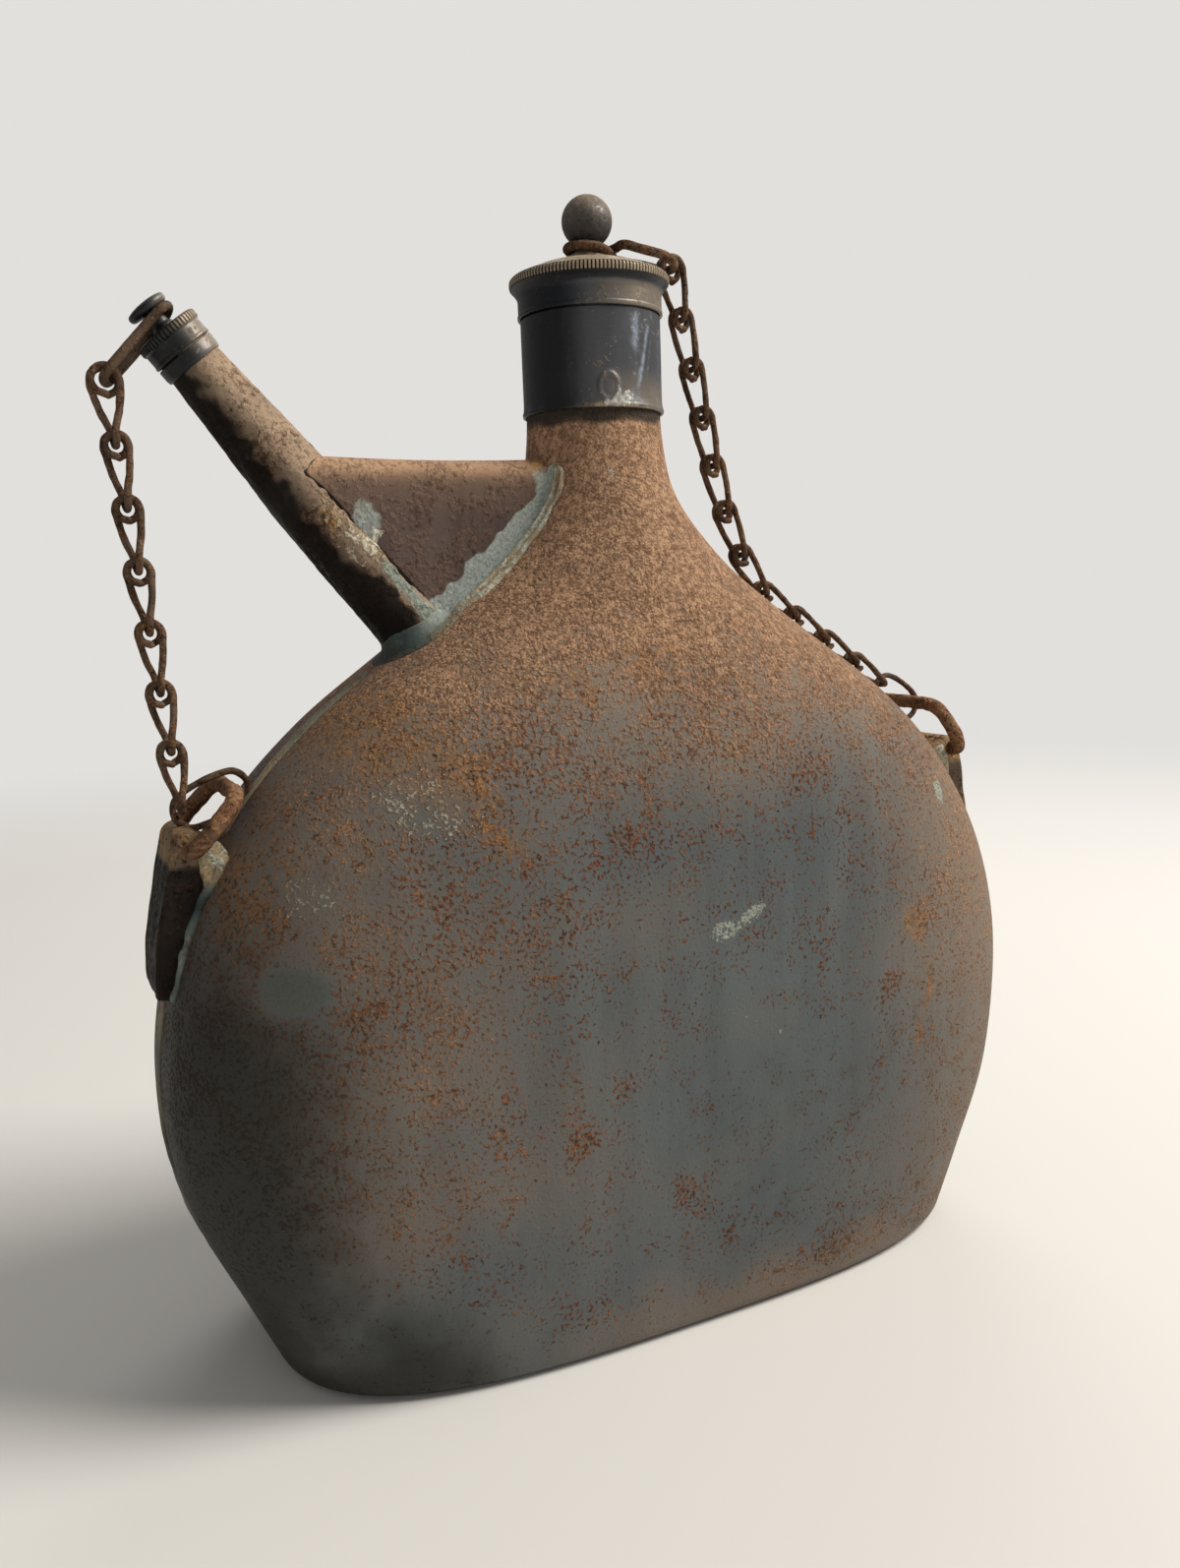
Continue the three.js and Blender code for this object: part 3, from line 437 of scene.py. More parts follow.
# Round wire along a path: circles across it, turned from one direction that no part of it points along,
# with a small uneven swelling; open ends close in a half round
def wireGrid(path, radius, sides, closed, rough=0.0, seed=1):
    if closed:
        sizes = np.ones(len(path))
        along = np.roll(path, -1, 0) - np.roll(path, 1, 0)
    else:
        turn = np.linspace(0, math.pi / 2, 5)[:-1]
        ends = [step / np.linalg.norm(step) for step in (path[1] - path[0], path[-1] - path[-2])]
        first = path[0] - ends[0] * radius * np.cos(turn)[:, None]
        last = path[-1] + ends[1] * radius * np.cos(turn)[::-1, None]
        sizes = np.concatenate([np.sin(turn), np.ones(len(path)), np.sin(turn)[::-1]])
        path = np.vstack([first, path, last])
        along = np.gradient(path, axis=0)
    along /= np.linalg.norm(along, axis=1, keepdims=True)
    k = np.arange(80) + 0.5
    up = 1 - k / 80
    flat = np.sqrt(1 - up * up)
    guesses = np.stack([flat * np.cos(2.4 * k), flat * np.sin(2.4 * k), up], 1)
    guide = guesses[np.abs(guesses @ along.T).max(1).argmin()]
    side = np.cross(along, guide)
    side /= np.linalg.norm(side, axis=1, keepdims=True)
    over = np.cross(side, along)
    turn = np.linspace(0, 2 * math.pi, sides, endpoint=False)
    spokes = side[:, None] * np.cos(turn)[None, :, None] + over[:, None] * np.sin(turn)[None, :, None]
    skin = path[:, None] + spokes * (radius * sizes)[:, None, None]
    if rough:
        swell = ripple(skin.reshape(-1, 3), 2.4, seed) * 0.6 + ripple(skin.reshape(-1, 3), 6, seed + 9)
        skin = skin + spokes * (swell.reshape(skin.shape[:2]) * rough * sizes[:, None])[..., None]
    return skin, closed, True


# Profile of [radius, height, fillet] with each corner rounded by a small curve and long runs cut up
def roundedProfile(corners, longest):
    c = np.asarray(corners, float)
    pieces = [c[:1, :2]]
    for before, here, after in zip(c[:-2], c[1:-1], c[2:]):
        a, b = before[:2] - here[:2], after[:2] - here[:2]
        la, lb = np.linalg.norm(a), np.linalg.norm(b)
        fillet = min(here[2], 0.48 * la, 0.48 * lb)
        if fillet < 1e-3:
            pieces.append(here[None, :2])
            continue
        t = np.linspace(0, 1, 6)[:, None]
        start, end = here[:2] + a / la * fillet, here[:2] + b / lb * fillet
        pieces.append(arch(start, here[:2], end, t))
    pieces.append(c[-1:, :2])
    line = np.vstack(pieces)
    along = lengths(line)
    want = np.unique(np.concatenate([along, np.linspace(0, along[-1], int(along[-1] / longest) + 2)]))
    keep = np.concatenate([[True], np.diff(want) > 1e-4])
    return pointsAt(line, want[keep])


# Profile turned about Z; swell adds to the radius as a function of angle, height and radius
def turned(profile, columns, swell=None):
    turn = np.linspace(0, 2 * math.pi, columns, endpoint=False)[None, :]
    radius = np.repeat(profile[:, :1], columns, 1)
    height = np.repeat(profile[:, 1:], columns, 1)
    if swell:
        radius = radius + swell(turn, height, radius)
    return np.stack([radius * np.cos(turn), radius * np.sin(turn), height], -1), False, True


# Body outline: half width and half depth run smoothly through stations, and the plan is a
# superellipse |x/a|^n + |y/b|^n = 1 whose power n falls from square-cornered to round up the shoulder
bodyShape = {
    "top": 203.6,
    "wall": 0.8,
    "corner": 3.1,
    "squareUpTo": 110.0,
    "roundFrom": 165.0,
    "footEdge": 3.0,
    "dish": 0.9,
    "baseNarrow": 0.03,
    "seamGap": 0.02,
    "rows": 170,
    "baseRows": 13,
    "footRows": 9,
    "columns": 161,
    "dents": 0.22,
    "stations": [
        (0, 82.6, 39.2),
        (16, 89.6, 40.4),
        (36, 98.0, 40.9),
        (56, 101.4, 41.0),
        (76, 99.7, 41.0),
        (96, 93.4, 41.0),
        (115, 81.9, 40.2),
        (130, 67.8, 37.8),
        (142, 52.3, 34.6),
        (152, 38.8, 31.0),
        (162, 26.8, 26.6),
        (174, 17.0, 20.6),
        (186, 14.9, 15.3),
        (204, 14.2, 14.2),
    ],
}
stations = np.array(bodyShape["stations"], float)


def station(height, column):
    # Cubic through the stations with averaged slopes, level above the last
    at, value = stations[:, 0], stations[:, column]
    slope = np.concatenate([
        [(value[1] - value[0]) / (at[1] - at[0])],
        (value[2:] - value[:-2]) / (at[2:] - at[:-2]),
        [(value[-1] - value[-2]) / (at[-1] - at[-2])],
    ])
    i = np.searchsorted(at[1:-1], height, side="left")
    step = at[i + 1] - at[i]
    t = np.clip((height - at[i]) / step, 0, 1)
    blend = t * t * (3 - 2 * t)
    pull = slope[i] * step * t * (1 - t) ** 2 - slope[i + 1] * step * t * t * (1 - t)
    return value[i] * (1 - blend) + value[i + 1] * blend + pull


def section(height):
    # Half width, half depth and power at a height; the foot's edge tucks in by a quarter circle
    edge = bodyShape["footEdge"]
    low = np.clip(edge - height, 0, edge)
    tuck = edge - np.sqrt(edge * edge - low * low)
    ease = rise(height, bodyShape["squareUpTo"], bodyShape["roundFrom"])
    power = bodyShape["corner"] + (2 - bodyShape["corner"]) * ease
    return station(height, 1) - tuck, station(height, 2) - tuck, power


def skinX(height, depth):
    # Half width of the body at a height and a depth
    a, b, n = section(height)
    return a * np.clip(1 - (np.abs(depth) / b) ** n, 1e-6, 1) ** (1 / n)


def bodyDepth(points):
    # Below 1 inside the body, above 1 outside
    x, y, z = np.moveaxis(points, -1, 0)
    a, b, n = section(z)
    return (np.abs(x) / a) ** n + (np.abs(y) / b) ** n


def bodyNormal(points):
    # Gradient of the depth value by small differences
    steps = np.eye(3) * 0.05
    slope = np.stack([bodyDepth(points + s) - bodyDepth(points - s) for s in steps], -1)
    return slope / np.linalg.norm(slope, axis=-1, keepdims=True)


def bodyHalf(side):
    # Rows: the base from the seam out, its rounded edge, then up the side; columns run seam to seam
    edge = bodyShape["footEdge"]
    spread = np.linspace(0, 1, bodyShape["baseRows"] + 1)[:-1]
    turnIn = np.linspace(0, math.pi / 2, bodyShape["footRows"])
    up = np.linspace(edge, bodyShape["top"], bodyShape["rows"])[1:]
    height = np.concatenate([0 * spread, edge * (1 - np.cos(turnIn)), up])[:, None]
    reach = np.concatenate([spread, np.ones(len(turnIn) + len(up))])[:, None]
    a, b, n = section(height)
    u = np.linspace(0, 1, bodyShape["columns"])[None, :]
    w = np.where(u < 0.5, 2 * u, 2 - 2 * u)
    p = n / 2
    share = w**p / (w**p + (1 - w) ** p)
    turn = np.where(u < 0.5, math.pi - math.pi / 2 * share, math.pi / 2 * share)
    x = a * np.sign(np.cos(turn)) * np.abs(np.cos(turn)) ** (2 / n)
    y = b * np.abs(np.sin(turn)) ** (2 / n) * reach
    x[:, 0], x[:, -1] = -a[:, 0], a[:, 0]
    x = x * (1 - bodyShape["baseNarrow"] * (1 - reach))
    y[:, 0], y[:, -1] = 0, 0
    full = np.stack([x, side * y, np.repeat(height, x.shape[1], 1)], -1)
    fade = rise(np.abs(y) / b, 0.15, 0.6) * rise(height, 4, 14) * (1 - rise(height, 170, 190))
    dent = (ripple(full, 70, 4) + 0.5 * ripple(full, 26, 8)) * bodyShape["dents"] * fade
    full = full + bodyNormal(full + [0, side * 1e-3, 0]) * dent[..., None]
    dish = bodyShape["dish"] * (1 - rise(bodyDepth(full * [1, 1, 0]), 0.72, 0.9))
    full[..., 2] += np.where(height == 0, dish, 0)
    full[..., 1] += side * bodyShape["seamGap"]
    return full, False, False


bodyMarks = {
    "cover": [
        (0, 0.22), (40, 0.23), (60, 0.27), (76, 0.32), (92, 0.335), (108, 0.36), (124, 0.405), (138, 0.6),
        (154, 0.8), (176, 0.88),
    ],
    "pale": [
        (5.5, 86.3, 5, 3.0, 10, 0.64),
        (12, 88.9, 4.6, 2.0, 27, 0.66),
        (12, 66.2, 20, 0.7, -27, 0.46),
        (20, 62, 8, 0.8, -27, 0.5),
        (-55, 118, 13, 9, -20, 0.42),
        (-76, 102.5, 7, 6, 0, 0.42),
        (-4.5, 178.5, 1.6, 5, 8, 0.42),
        (68.7, 107.4, 1.9, 3.3, 14, 0.95),
    ],
    "film": [
        (-80, 86, 5.5, 4.4, 0, 1.0),
        # This softer blot is a painted shadow beside the pale flecks above it
        (4, 85.5, 11, 3.6, 17, 0.3),
    ],
    "ochre": [
        (-21, 138, 3, 6, 20, 0.55),
        (57, 79, 4.5, 7, 35, 0.68),
        (61.8, 64, 1.6, 9, -8, 0.85),
        (58.6, 53, 1.5, 5, 0, 0.7),
        (-40, 110, 8, 5, 20, 0.45),
        (-5, 142, 10, 5, 0, 0.4),
        (-58, 129, 30, 12, -38, 0.55),
        (-84, 106, 11, 18, -25, 0.42),
    ],
    "rust": [
        (49, 67, 5, 4, 20, 0.26),
        (-29, 47, 4.5, 3, 50, 0.34),
        (-5, 32.6, 4, 4, 0, 0.3),
        (-25.5, 12, 14, 5, 0, 0.16),
        (34, 8.8, 22, 5, 0, 0.2),
        (-19, 57, 2.5, 2.5, 0, 0.3),
        (-8, 112, 30, 16, 10, 0.05),
    ],
    "clear": [
        (-80, 86, 5.5, 4.4, 0, 0.6),
        (22, 62, 34, 22, 0, 0.05),
        (14, 96, 22, 7, 15, 0.04),
    ],
}


def paintBody(points):
    # Rust cover follows a table of heights and grows towards both sides; the tan film follows it more softly.
    # The back mirrors the front at a smaller reach, and the two run into each other over the side seams
    x, y, z = points.T
    blend = rise(y, -26, 34)

    def toSide(way, low, high, wave=0):
        front = rise(way * x + wave, low, high)
        return front + (rise(-0.6 * way * x + wave, low, high) - front) * blend

    level, amount = np.array(bodyMarks["cover"]).T
    shoulder = rise(z, 70, 150)
    left = toSide(-1, 0, 75, 8 * ripple(points, 45, 5)) * rise(z, 14, 45)
    right = toSide(1, 22, 88, 6 * ripple(points, 50, 6))
    cover = np.interp(z + 7 * ripple(points, 60, 3), level, amount)
    cover += 0.15 * left * (1 - shoulder) + 0.14 * right + 0.05 * ripple(points, 34, 11)
    cover += blots(points, bodyMarks["rust"]) - blots(points, bodyMarks["clear"])
    film = rise(z + 7 * ripple(points, 40, 13), 98, 151)
    low = (1 - rise(z + 4 * ripple(points, 30, 15), 2, 18)) * toSide(1, -60, 10)
    haze = np.maximum.reduce([
        0.92 * film,
        0.8 * right * (0.65 + 0.35 * rise(z, 50, 110)),
        0.34 * left + 0.1 * ripple(points, 30, 14),
        0.5 * low,
    ])
    haze = np.clip(haze - 1.2 * blots(points, bodyMarks["clear"]), 0, 1)
    # Dark: a painted shadow in a band just under the collar, painted shade on the left below the shoulder and
    # low on the left, and a little darker low down from the middle rightwards
    dark = np.maximum.reduce([
        0.95 * rise(z + 0.9 * ripple(points, 7, 17), 189.4, 191.4),
        1.05 * toSide(-1, 48, 98) * (1 - rise(z, 66, 128)),
        0.33 * (1 - rise(z, 50, 96)) * toSide(1, -30, 10),
        1.05 * (1 - rise(z + 5 * ripple(points, 40, 18), 0, 38)) * toSide(-1, 24, 70),
    ])
    return {
        "cover": cover,
        "haze": haze,
        "film": blots(points, bodyMarks["film"]),
        "pale": blots(points, bodyMarks["pale"]),
        "ochre": blots(points, bodyMarks["ochre"]),
        "dark": dark * (1 - blots(points, bodyMarks["film"][:1])),
    }


for side, label in ((-1, "front"), (1, "back")):
    shell = addPiece(label + "BodyShell", "canteen_body", label + "_shell", "body",
                     [bodyHalf(side)], paintBody)
    wallMaker = shell.modifiers.new("sheet", "SOLIDIFY")
    wallMaker.thickness = bodyShape["wall"] * mm
    wallMaker.offset = -1
print("body shells made")

# Solder strips over the side seams: a low lens across the seam, wandering a little along it
seamShape = {
    "half": 2.1,
    "height": 0.55,
    "runs": {
        "left_seam_strip_lower": (-1, 4.5, 79.5),
        "left_seam_strip_upper": (-1, 109.5, 141),
        "right_seam_strip_lower": (1, 4.5, 83),
        "right_seam_strip_upper": (1, 112, 188),
    },
}


def seamStrip(side, low, high):
    # Lens section (half cos, height sin) carried up the seam on the skin, closing at both ends
    z = np.linspace(low, high, int((high - low) * 1.6))[:, None]
    turn = np.linspace(0, 2 * math.pi, 14, endpoint=False)[None, :]
    ends = np.sqrt(np.clip(1 - np.abs(2 * (z - low) / (high - low) - 1) ** 24, 0, 1))
    line = np.concatenate([0 * z, 0 * z, z], 1)
    half = seamShape["half"] * (1 + 0.16 * ripple(line, 9, 21)[:, None]) * ends
    y = half * np.cos(turn) + 0.25 * ripple(line, 30, 22)[:, None]
    on = np.stack([side * skinX(z, y), y, z + 0 * y], -1)
    lift = np.where(np.sin(turn) > 0, np.sin(turn) * seamShape["height"], 0.3 * np.sin(turn)) * ends
    lift = lift * (1 + 0.2 * ripple(on, 5, 23))
    return on + bodyNormal(on) * lift[..., None], False, True


def paintSeam(points):
    # Wandering stains, darker below the lugs
    marks = seamStains(points)
    marks["dark"] = marks["dark"] + np.where(points[:, 2] < 90, 0.5, 0.25)
    return marks


seamStains = wandering({
    "cover": (0.45, 0.3, 18, 24),
    "haze": (0.45, 0.3, 24, 25),
    "dark": (0, 0.25, 30, 26),
    "ochre": (0.2, 0.2, 14, 27),
    "pale": (0.1, 0.2, 11, 28),
})
for node, run in seamShape["runs"].items():
    words = node.split("_")
    name = words[0] + "".join(word.capitalize() for word in words[1:])
    addPiece(name, "canteen_body", node, "solder", [seamStrip(*run)], paintSeam)
print("seam strips made")

# Neck collar: plain sleeve with a small bead at its lower edge and the spigot under the cap;
# a soldered oval ring stands on its front
collarShape = {
    "bottom": 192.9,
    "outer": 15.02,
    "inner": 14.72,
    "bead": 0.14,
    "beadHeight": 0.7,
    "shoulder": 212.95,
    "spigot": 14.4,
    "top": 219.0,
    "bore": 13.2,
    "seat": 203.9,
    "ringTurn": -103.5,
    "ringHeight": 197.0,
    "ringHalf": (1.95, 2.6),
    "ringRise": 0.4,
    "discRise": 0.22,
}


def collarLine(bottom, outer, inner, bead, beadHeight, shoulder, spigot, top, bore, seat, **_):
    # Section: down the inside, up the sleeve to its shoulder, up the spigot and down its bore
    return roundedProfile([
        (inner, seat, 0),
        (inner, bottom, 0.05),
        (outer + bead, bottom, 0.2),
        (outer + bead, bottom + beadHeight, 0.25),
        (outer, bottom + beadHeight + 0.4, 0.3),
        (outer, shoulder, 0.25),
        (spigot, shoulder, 0.1),
        (spigot, top, 0.3),
        (bore, top, 0.3),
        (bore, seat, 0.1),
        (inner, seat, 0),
    ], 0.3)


def collarRing(turn, height):
    # Distance from the middle of the oval solder ring, in units of its own half sizes
    look = collarShape
    away = (turn - math.radians(look["ringTurn"]) + math.pi) % (2 * math.pi) - math.pi
    across = away * look["outer"] / look["ringHalf"][0]
    return np.hypot(across, (height - look["ringHeight"]) / look["ringHalf"][1])


def collarSwell(turn, height, radius):
    # Oval ring and its disc, lumps of solder along the lower edge, and a slight wobble of the sleeve
    look = collarShape
    off = collarRing(turn, height)
    ring = look["ringRise"] * peak(off, 1, 0.22) + look["discRise"] * (1 - rise(off, 0.3, 0.9))
    spot = np.stack([15 * np.cos(turn) + 0 * height, 15 * np.sin(turn) + 0 * height, height + 0 * turn], -1)
    lump = 0.12 * peak(height, 193.8, 0.9) * (1 + ripple(spot, 5, 31))
    outside = (radius > look["outer"] - 0.1) & (height < look["shoulder"] - 0.5)
    wobble = 0.03 * ripple(spot, 12, 32)
    return np.where(outside, ring + lump + wobble, 0)


def paintCollar(points):
    # Angles run from painted shade on the dark left to the slate right, where a painted sheen faces the
    # light; the streaks are narrow, tall and a little slanted
    x, y, z = points.T
    turn = np.degrees(np.arctan2(y, x))
    facing = np.cos(np.radians(turn + 50))

    def streak(at, slant, width, low, high):
        band = rise(z, low, low + 3) * (1 - rise(z, high - 3, high))
        return peak(turn - slant * (z - 204), at, width) * band

    streaks = streak(-70, 1.0, 2.0, 196, 211) + 0.75 * streak(-80, 0.3, 3.2, 203, 213)
    streaks += 0.6 * streak(-63, 0.8, 1.6, 198, 209)
    sheen = rise(facing, 0.4, 1) * (1 + 0.8 * ripple(points * [1, 1, 0.2], 4, 33))
    low = peak(z, 193.4, 0.6)
    off = collarRing(np.radians(turn), z)
    crust = peak(off, 1.15, 0.3) * (1 - 0.7 * rise(z, 195, 198.5))
    blotch = peak(turn, -87, 12) * peak(z, 195.2, 1.9)
    return {
        "cover": 0.12 + 0.1 * ripple(points, 9, 34),
        "haze": 0.1 + 0.3 * rise(facing, 0.3, 1) * (1 - rise(z, 196, 202)),
        "film": 0.47 * streaks + 0.23 * sheen + 0.4 * blotch,
        "pale": 0.5 * crust + 0.55 * blotch + 0.45 * low * peak(turn, -100, 20),
        "ochre": 0.9 * low * peak(turn, -98, 32) + 0.35 * peak(off, 1, 0.25),
        # Painted shade on the side turned away from the light
        "dark": 0.97 * rise(-facing, -0.66, 0.2),
    }


addPiece("neckCollar", "canteen_body", "neck_collar", "tin",
         [turned(collarLine(**collarShape), 300, collarSwell)], paintCollar, 50)

# Main cap: skirt with a bead, flange that flares to a finely slit rim, and a shallow dome.
# Rows of the rim: how far out from the flange, height, fillet
capShape = {
    "bottom": 213.2,
    "inner": 14.95,
    "skirt": 15.45,
    "skirtTop": 217.5,
    "bead": 0.14,
    "beadHeight": 0.75,
    "flange": 17.2,
    "rim": [
        (-0.8, 218.9, 0.8),
        (-0.1, 219.5, 0.4),
        (0, 220.4, 0.3),
        (-0.1, 221.0, 0.25),
        (-0.6, 221.5, 0.3),
        (-6.6, 223.9, 4),
    ],
    "slits": (219.4, 221.3),
    "domeTop": 225.1,
    "domeFlat": 4.9,
    "ceiling": 221.6,
    "pinHole": 1.8,
    "teeth": 132,
    "toothDepth": 0.5,
}


def capLine(bottom, inner, skirt, skirtTop, bead, beadHeight, flange, rim, domeTop, domeFlat, ceiling,
            pinHole, **_):
    # Section: out along the ceiling, down the inside, up the skirt, out round the rim and in over the dome
    return roundedProfile([
        (pinHole, ceiling, 0),
        (inner, ceiling, 0.2),
        (inner, bottom, 0.1),
        (skirt + bead, bottom, 0.3),
        (skirt + bead, bottom + beadHeight, 0.15),
        (skirt - 0.02, bottom + beadHeight + 0.2, 0.2),
        (skirt, skirtTop, 1.2),
        *((flange + out, height, fillet) for out, height, fillet in rim),
        (domeFlat + 0.7, domeTop - 0.15, 1),
        (domeFlat, domeTop, 0.2),
        (pinHole, domeTop, 0.1),
        (pinHole, ceiling, 0),
    ], 0.55)


def capKnurl(turn, height, radius):
    # Slits: the radius falls in narrow notches round the flange's edge
    look = capShape
    low, high = look["slits"]
    slit = rise(np.cos(look["teeth"] * turn), 0.1, 0.75)
    band = rise(height, low, low + 0.3) * (1 - rise(height, high - 0.1, high + 0.1))
    return -look["toothDepth"] * slit * band * (radius > look["skirt"] + 0.05)


def paintCap(points):
    # Tan on the dome and on the teeth, and painted light in tan on the skirt's right; painted shade, dark, in
    # the slits, under the flange and on the left of the skirt
    x, y, z = points.T
    flange, skirtTop = capShape["flange"], capShape["skirtTop"]
    low, high = capShape["slits"]
    radius = np.hypot(x, y)
    facing = np.cos(np.arctan2(y, x) - math.radians(-50))
    dome = rise(z, high - 0.1, high + 0.1) * (radius < flange - 0.1)
    band = rise(z, low, low + 0.3) * (1 - dome)
    teeth = rise(radius, flange - 0.42, flange - 0.25) * band
    skirt = 1 - rise(z, skirtTop - 0.1, skirtTop + 0.9)
    # Painted shade under the flange and on the skirt's left
    under = rise(z, skirtTop + 0.1, skirtTop + 1.1) * (1 - band)
    left = 0.95 * rise(-facing, -0.62, 0.2) * (1 - dome) * (1 - 0.6 * teeth)
    return {
        "cover": 0.18 + 0.4 * dome + 0.12 * ripple(points, 7, 41),
        "haze": 0.95 * dome + 0.9 * teeth + 0.45 * rise(facing, 0.1, 1) * skirt,
        "pale": 0.1 * rise(ripple(points, 4, 42), 0.6, 1),
        "ochre": 0.3 * dome * rise(ripple(points, 8, 43), 0, 1) + 0.2 * skirt * rise(facing, 0.3, 1),
        "dark": left + 0.85 * under * (1 - dome) + 0.95 * band * (1 - teeth),
    }


addPiece("mainCap", "screw_cap", "main_cap", "tin",
         [turned(capLine(**capShape), capShape["teeth"] * 4, capKnurl)], paintCap, 55)

# Ball knob, one turned piece: pin, foot, neck and ball
knobShape = {
    "ball": 5.4,
    "centre": 233.1,
    "neck": 2.9,
    "foot": 4.7,
    "pin": 1.5,
    "pinFoot": 221.8,
    "floor": 225.3,
}


def knobLine(ball, centre, neck, foot, pin, pinFoot, floor):
    # Section: pin, foot and neck with rounded corners, then the ball's arc up to its pole
    turn = np.linspace(-0.98, math.pi / 2, 34)
    arc = np.stack([ball * np.cos(turn), centre + ball * np.sin(turn)], 1)
    arc[-1, 0] = 0
    stem = roundedProfile([
        (0, pinFoot, 0),
        (pin, pinFoot, 0.1),
        (pin, floor, 0.05),
        (foot, floor, 0.2),
        (foot - 0.15, floor + 0.45, 0.2),
        (neck + 0.35, floor + 1.3, 0.4),
        (neck, floor + 1.9, 0.4),
        (*arc[0], 0),
    ], 0.35)
    return np.vstack([stem, arc[1:]])


def paintKnob(points):
    # Tan on the foot; a painted highlight in tan on the ball's top, and painted shade, dark, on the neck and
    # under the ball
    z = points[:, 2]
    foot = 1 - rise(z, 226.4, 227)
    return {
        "cover": 0.75 + 0.2 * ripple(points, 5, 51),
        "haze": 0.55 * rise(z, 231, 239) + 0.5 * foot + 0.1,
        "dark": 0.62 * rise(z, 226.6, 227.2) * (1 - 0.8 * rise(z, 229, 238)),
        "ochre": 0.2 * rise(ripple(points, 5, 52), 0.2, 1) + 0.4 * foot,
    }


addPiece("ballKnob", "screw_cap", "cap_knob", "tin",
         [turned(knobLine(**knobShape), 64)], paintKnob, 60)

# Keeper hook: one wire in a figure of eight, round the knob's neck and out over the cap
hookShape = {
    "wire": 1.0,
    "loop": 4.4,
    "height": 227.7,
    "far": 225.0,
    "reach": 20.3,
    "width": 4.2,
    "square": 3.2,
}


def hookPath(look):
    # Part circle about the neck, a crossing, then a squared oval that droops to its far end
    turn = np.radians(35 + 290 * np.arange(8) / 7)
    lift = 0.35 * (1 - 2 * np.arange(8) / 7) - 0.4 * (1 + np.cos(turn))
    near = np.stack([look["loop"] * np.cos(turn), look["loop"] * np.sin(turn), look["height"] + lift], 1)
    middle = (look["reach"] + look["loop"] + 1.4) / 2
    i = np.arange(9)
    turn = np.radians(138 - 276 * i / 8)
    out = (1 + np.cos(turn)) / 2
    height = look["height"] + (look["far"] - look["height"]) * out**2 + 0.8 * (i / 4 - 1) * (1 - out)
    wave = np.stack([np.cos(turn), np.sin(turn)])
    u, v = np.sign(wave) * np.abs(wave) ** (2 / look["square"])
    far = np.stack([middle + (look["reach"] - middle) * u, look["width"] * v, height], 1)
    under, over = ([look["loop"] + 2.0, 0, look["height"] + up] for up in (-1.7, 0.5))
    return np.vstack([near, under, far, over])


paintWire = wandering({
    "cover": (0.62, 0.3, 7, 61),
    "haze": (0.35, 0.3, 11, 62),
    "dark": (0.28, 0.3, 9, 63),
    "ochre": (0.12, 0.22, 8, 64),
    "pale": (0.05, 0.12, 5, 65),
})
hookLine = smoothPath(hookPath(hookShape), 150, True)
addPiece("keeperHook", "keeper_hook", "cap_hook", "wire",
         [wireGrid(hookLine, hookShape["wire"], 14, True, 0.06, 66)], paintWire)
print("neck, cap, knob and hook made")

# Spout: a tapering tube that leans from the shoulder, in its own frame with its axis up
spoutShape = {
    "x": -84.4,
    "z": 201.4,
    "lean": 38.8,
    "top": 1.7,
    "radii": [(1.7, 5.3), (0, 5.3), (-30, 7.5), (-62, 8.0), (-100, 8.6)],
    "sink": 0.6,
    "wall": 1.0,
    "wrinkle": 0.14,
    "footOut": 4.2,
    "footUp": 3.0,
}


def fromSpout(local):
    # Turns the spout's own frame into the canteen's
    lean = math.radians(spoutShape["lean"])
    x, y, z = np.moveaxis(local, -1, 0)
    return np.stack([
        spoutShape["x"] + x * math.cos(lean) - z * math.sin(lean),
        y + 0 * x,
        spoutShape["z"] + x * math.sin(lean) + z * math.cos(lean),
    ], -1)


def alongSpout(points):
    # Height up the spout's axis and offset across it in X, the other way round from fromSpout
    lean = math.radians(spoutShape["lean"])
    dx, dz = points[:, 0] - spoutShape["x"], points[:, 2] - spoutShape["z"]
    return -dx * math.sin(lean) + dz * math.cos(lean), dx * math.cos(lean) + dz * math.sin(lean)


def spoutRadius(height):
    # Straight tapers between the listed radii, their corners eased by averaging over 8 mm below the mouth
    line = np.array(spoutShape["radii"])[::-1]
    eased = sum(np.interp(height + d, line[:, 0], line[:, 1]) for d in np.linspace(-4, 4, 9)) / 9
    return np.where(height > -4, np.interp(height, line[:, 0], line[:, 1]), eased)


def spoutMeets(turn, grow):
    # Height in the spout's frame where its side, grown by some mm, meets the body
    def inside(height):
        radius = spoutRadius(height) + grow
        return bodyDepth(fromSpout(np.stack([radius * np.cos(turn), radius * np.sin(turn), height], -1))) < 1

    return turningPoint(np.full(turn.shape, -110.0), np.full(turn.shape, -30.0), inside)


def spoutTube():
    # Rows run up the outside and down the bore; each column ends on the body's skin
    turn = np.linspace(0, 2 * math.pi, 120, endpoint=False)[None, :]
    end = spoutMeets(turn, 0) - spoutShape["sink"]
    share = np.linspace(0, 1, 130)[:, None]
    height = end + (spoutShape["top"] - end) * share
    radius = spoutRadius(height)
    flat = np.stack([radius * np.cos(turn), radius * np.sin(turn), height], -1)
    crease = ripple(flat * [1, 1, 0.45], 5, 71) + 0.6 * ripple(flat * [1, 1, 0.7], 2.4, 72)
    radius = radius + spoutShape["wrinkle"] * crease * rise(-height, 2, 8) * (1 - rise(-height, 58, 68))
    bore = radius[::-1] - spoutShape["wall"]
    radius = np.concatenate([radius, bore])
    height = np.concatenate([height, height[::-1]])
    local = np.stack([radius * np.cos(turn), radius * np.sin(turn), height], -1)
    return fromSpout(local), True, True


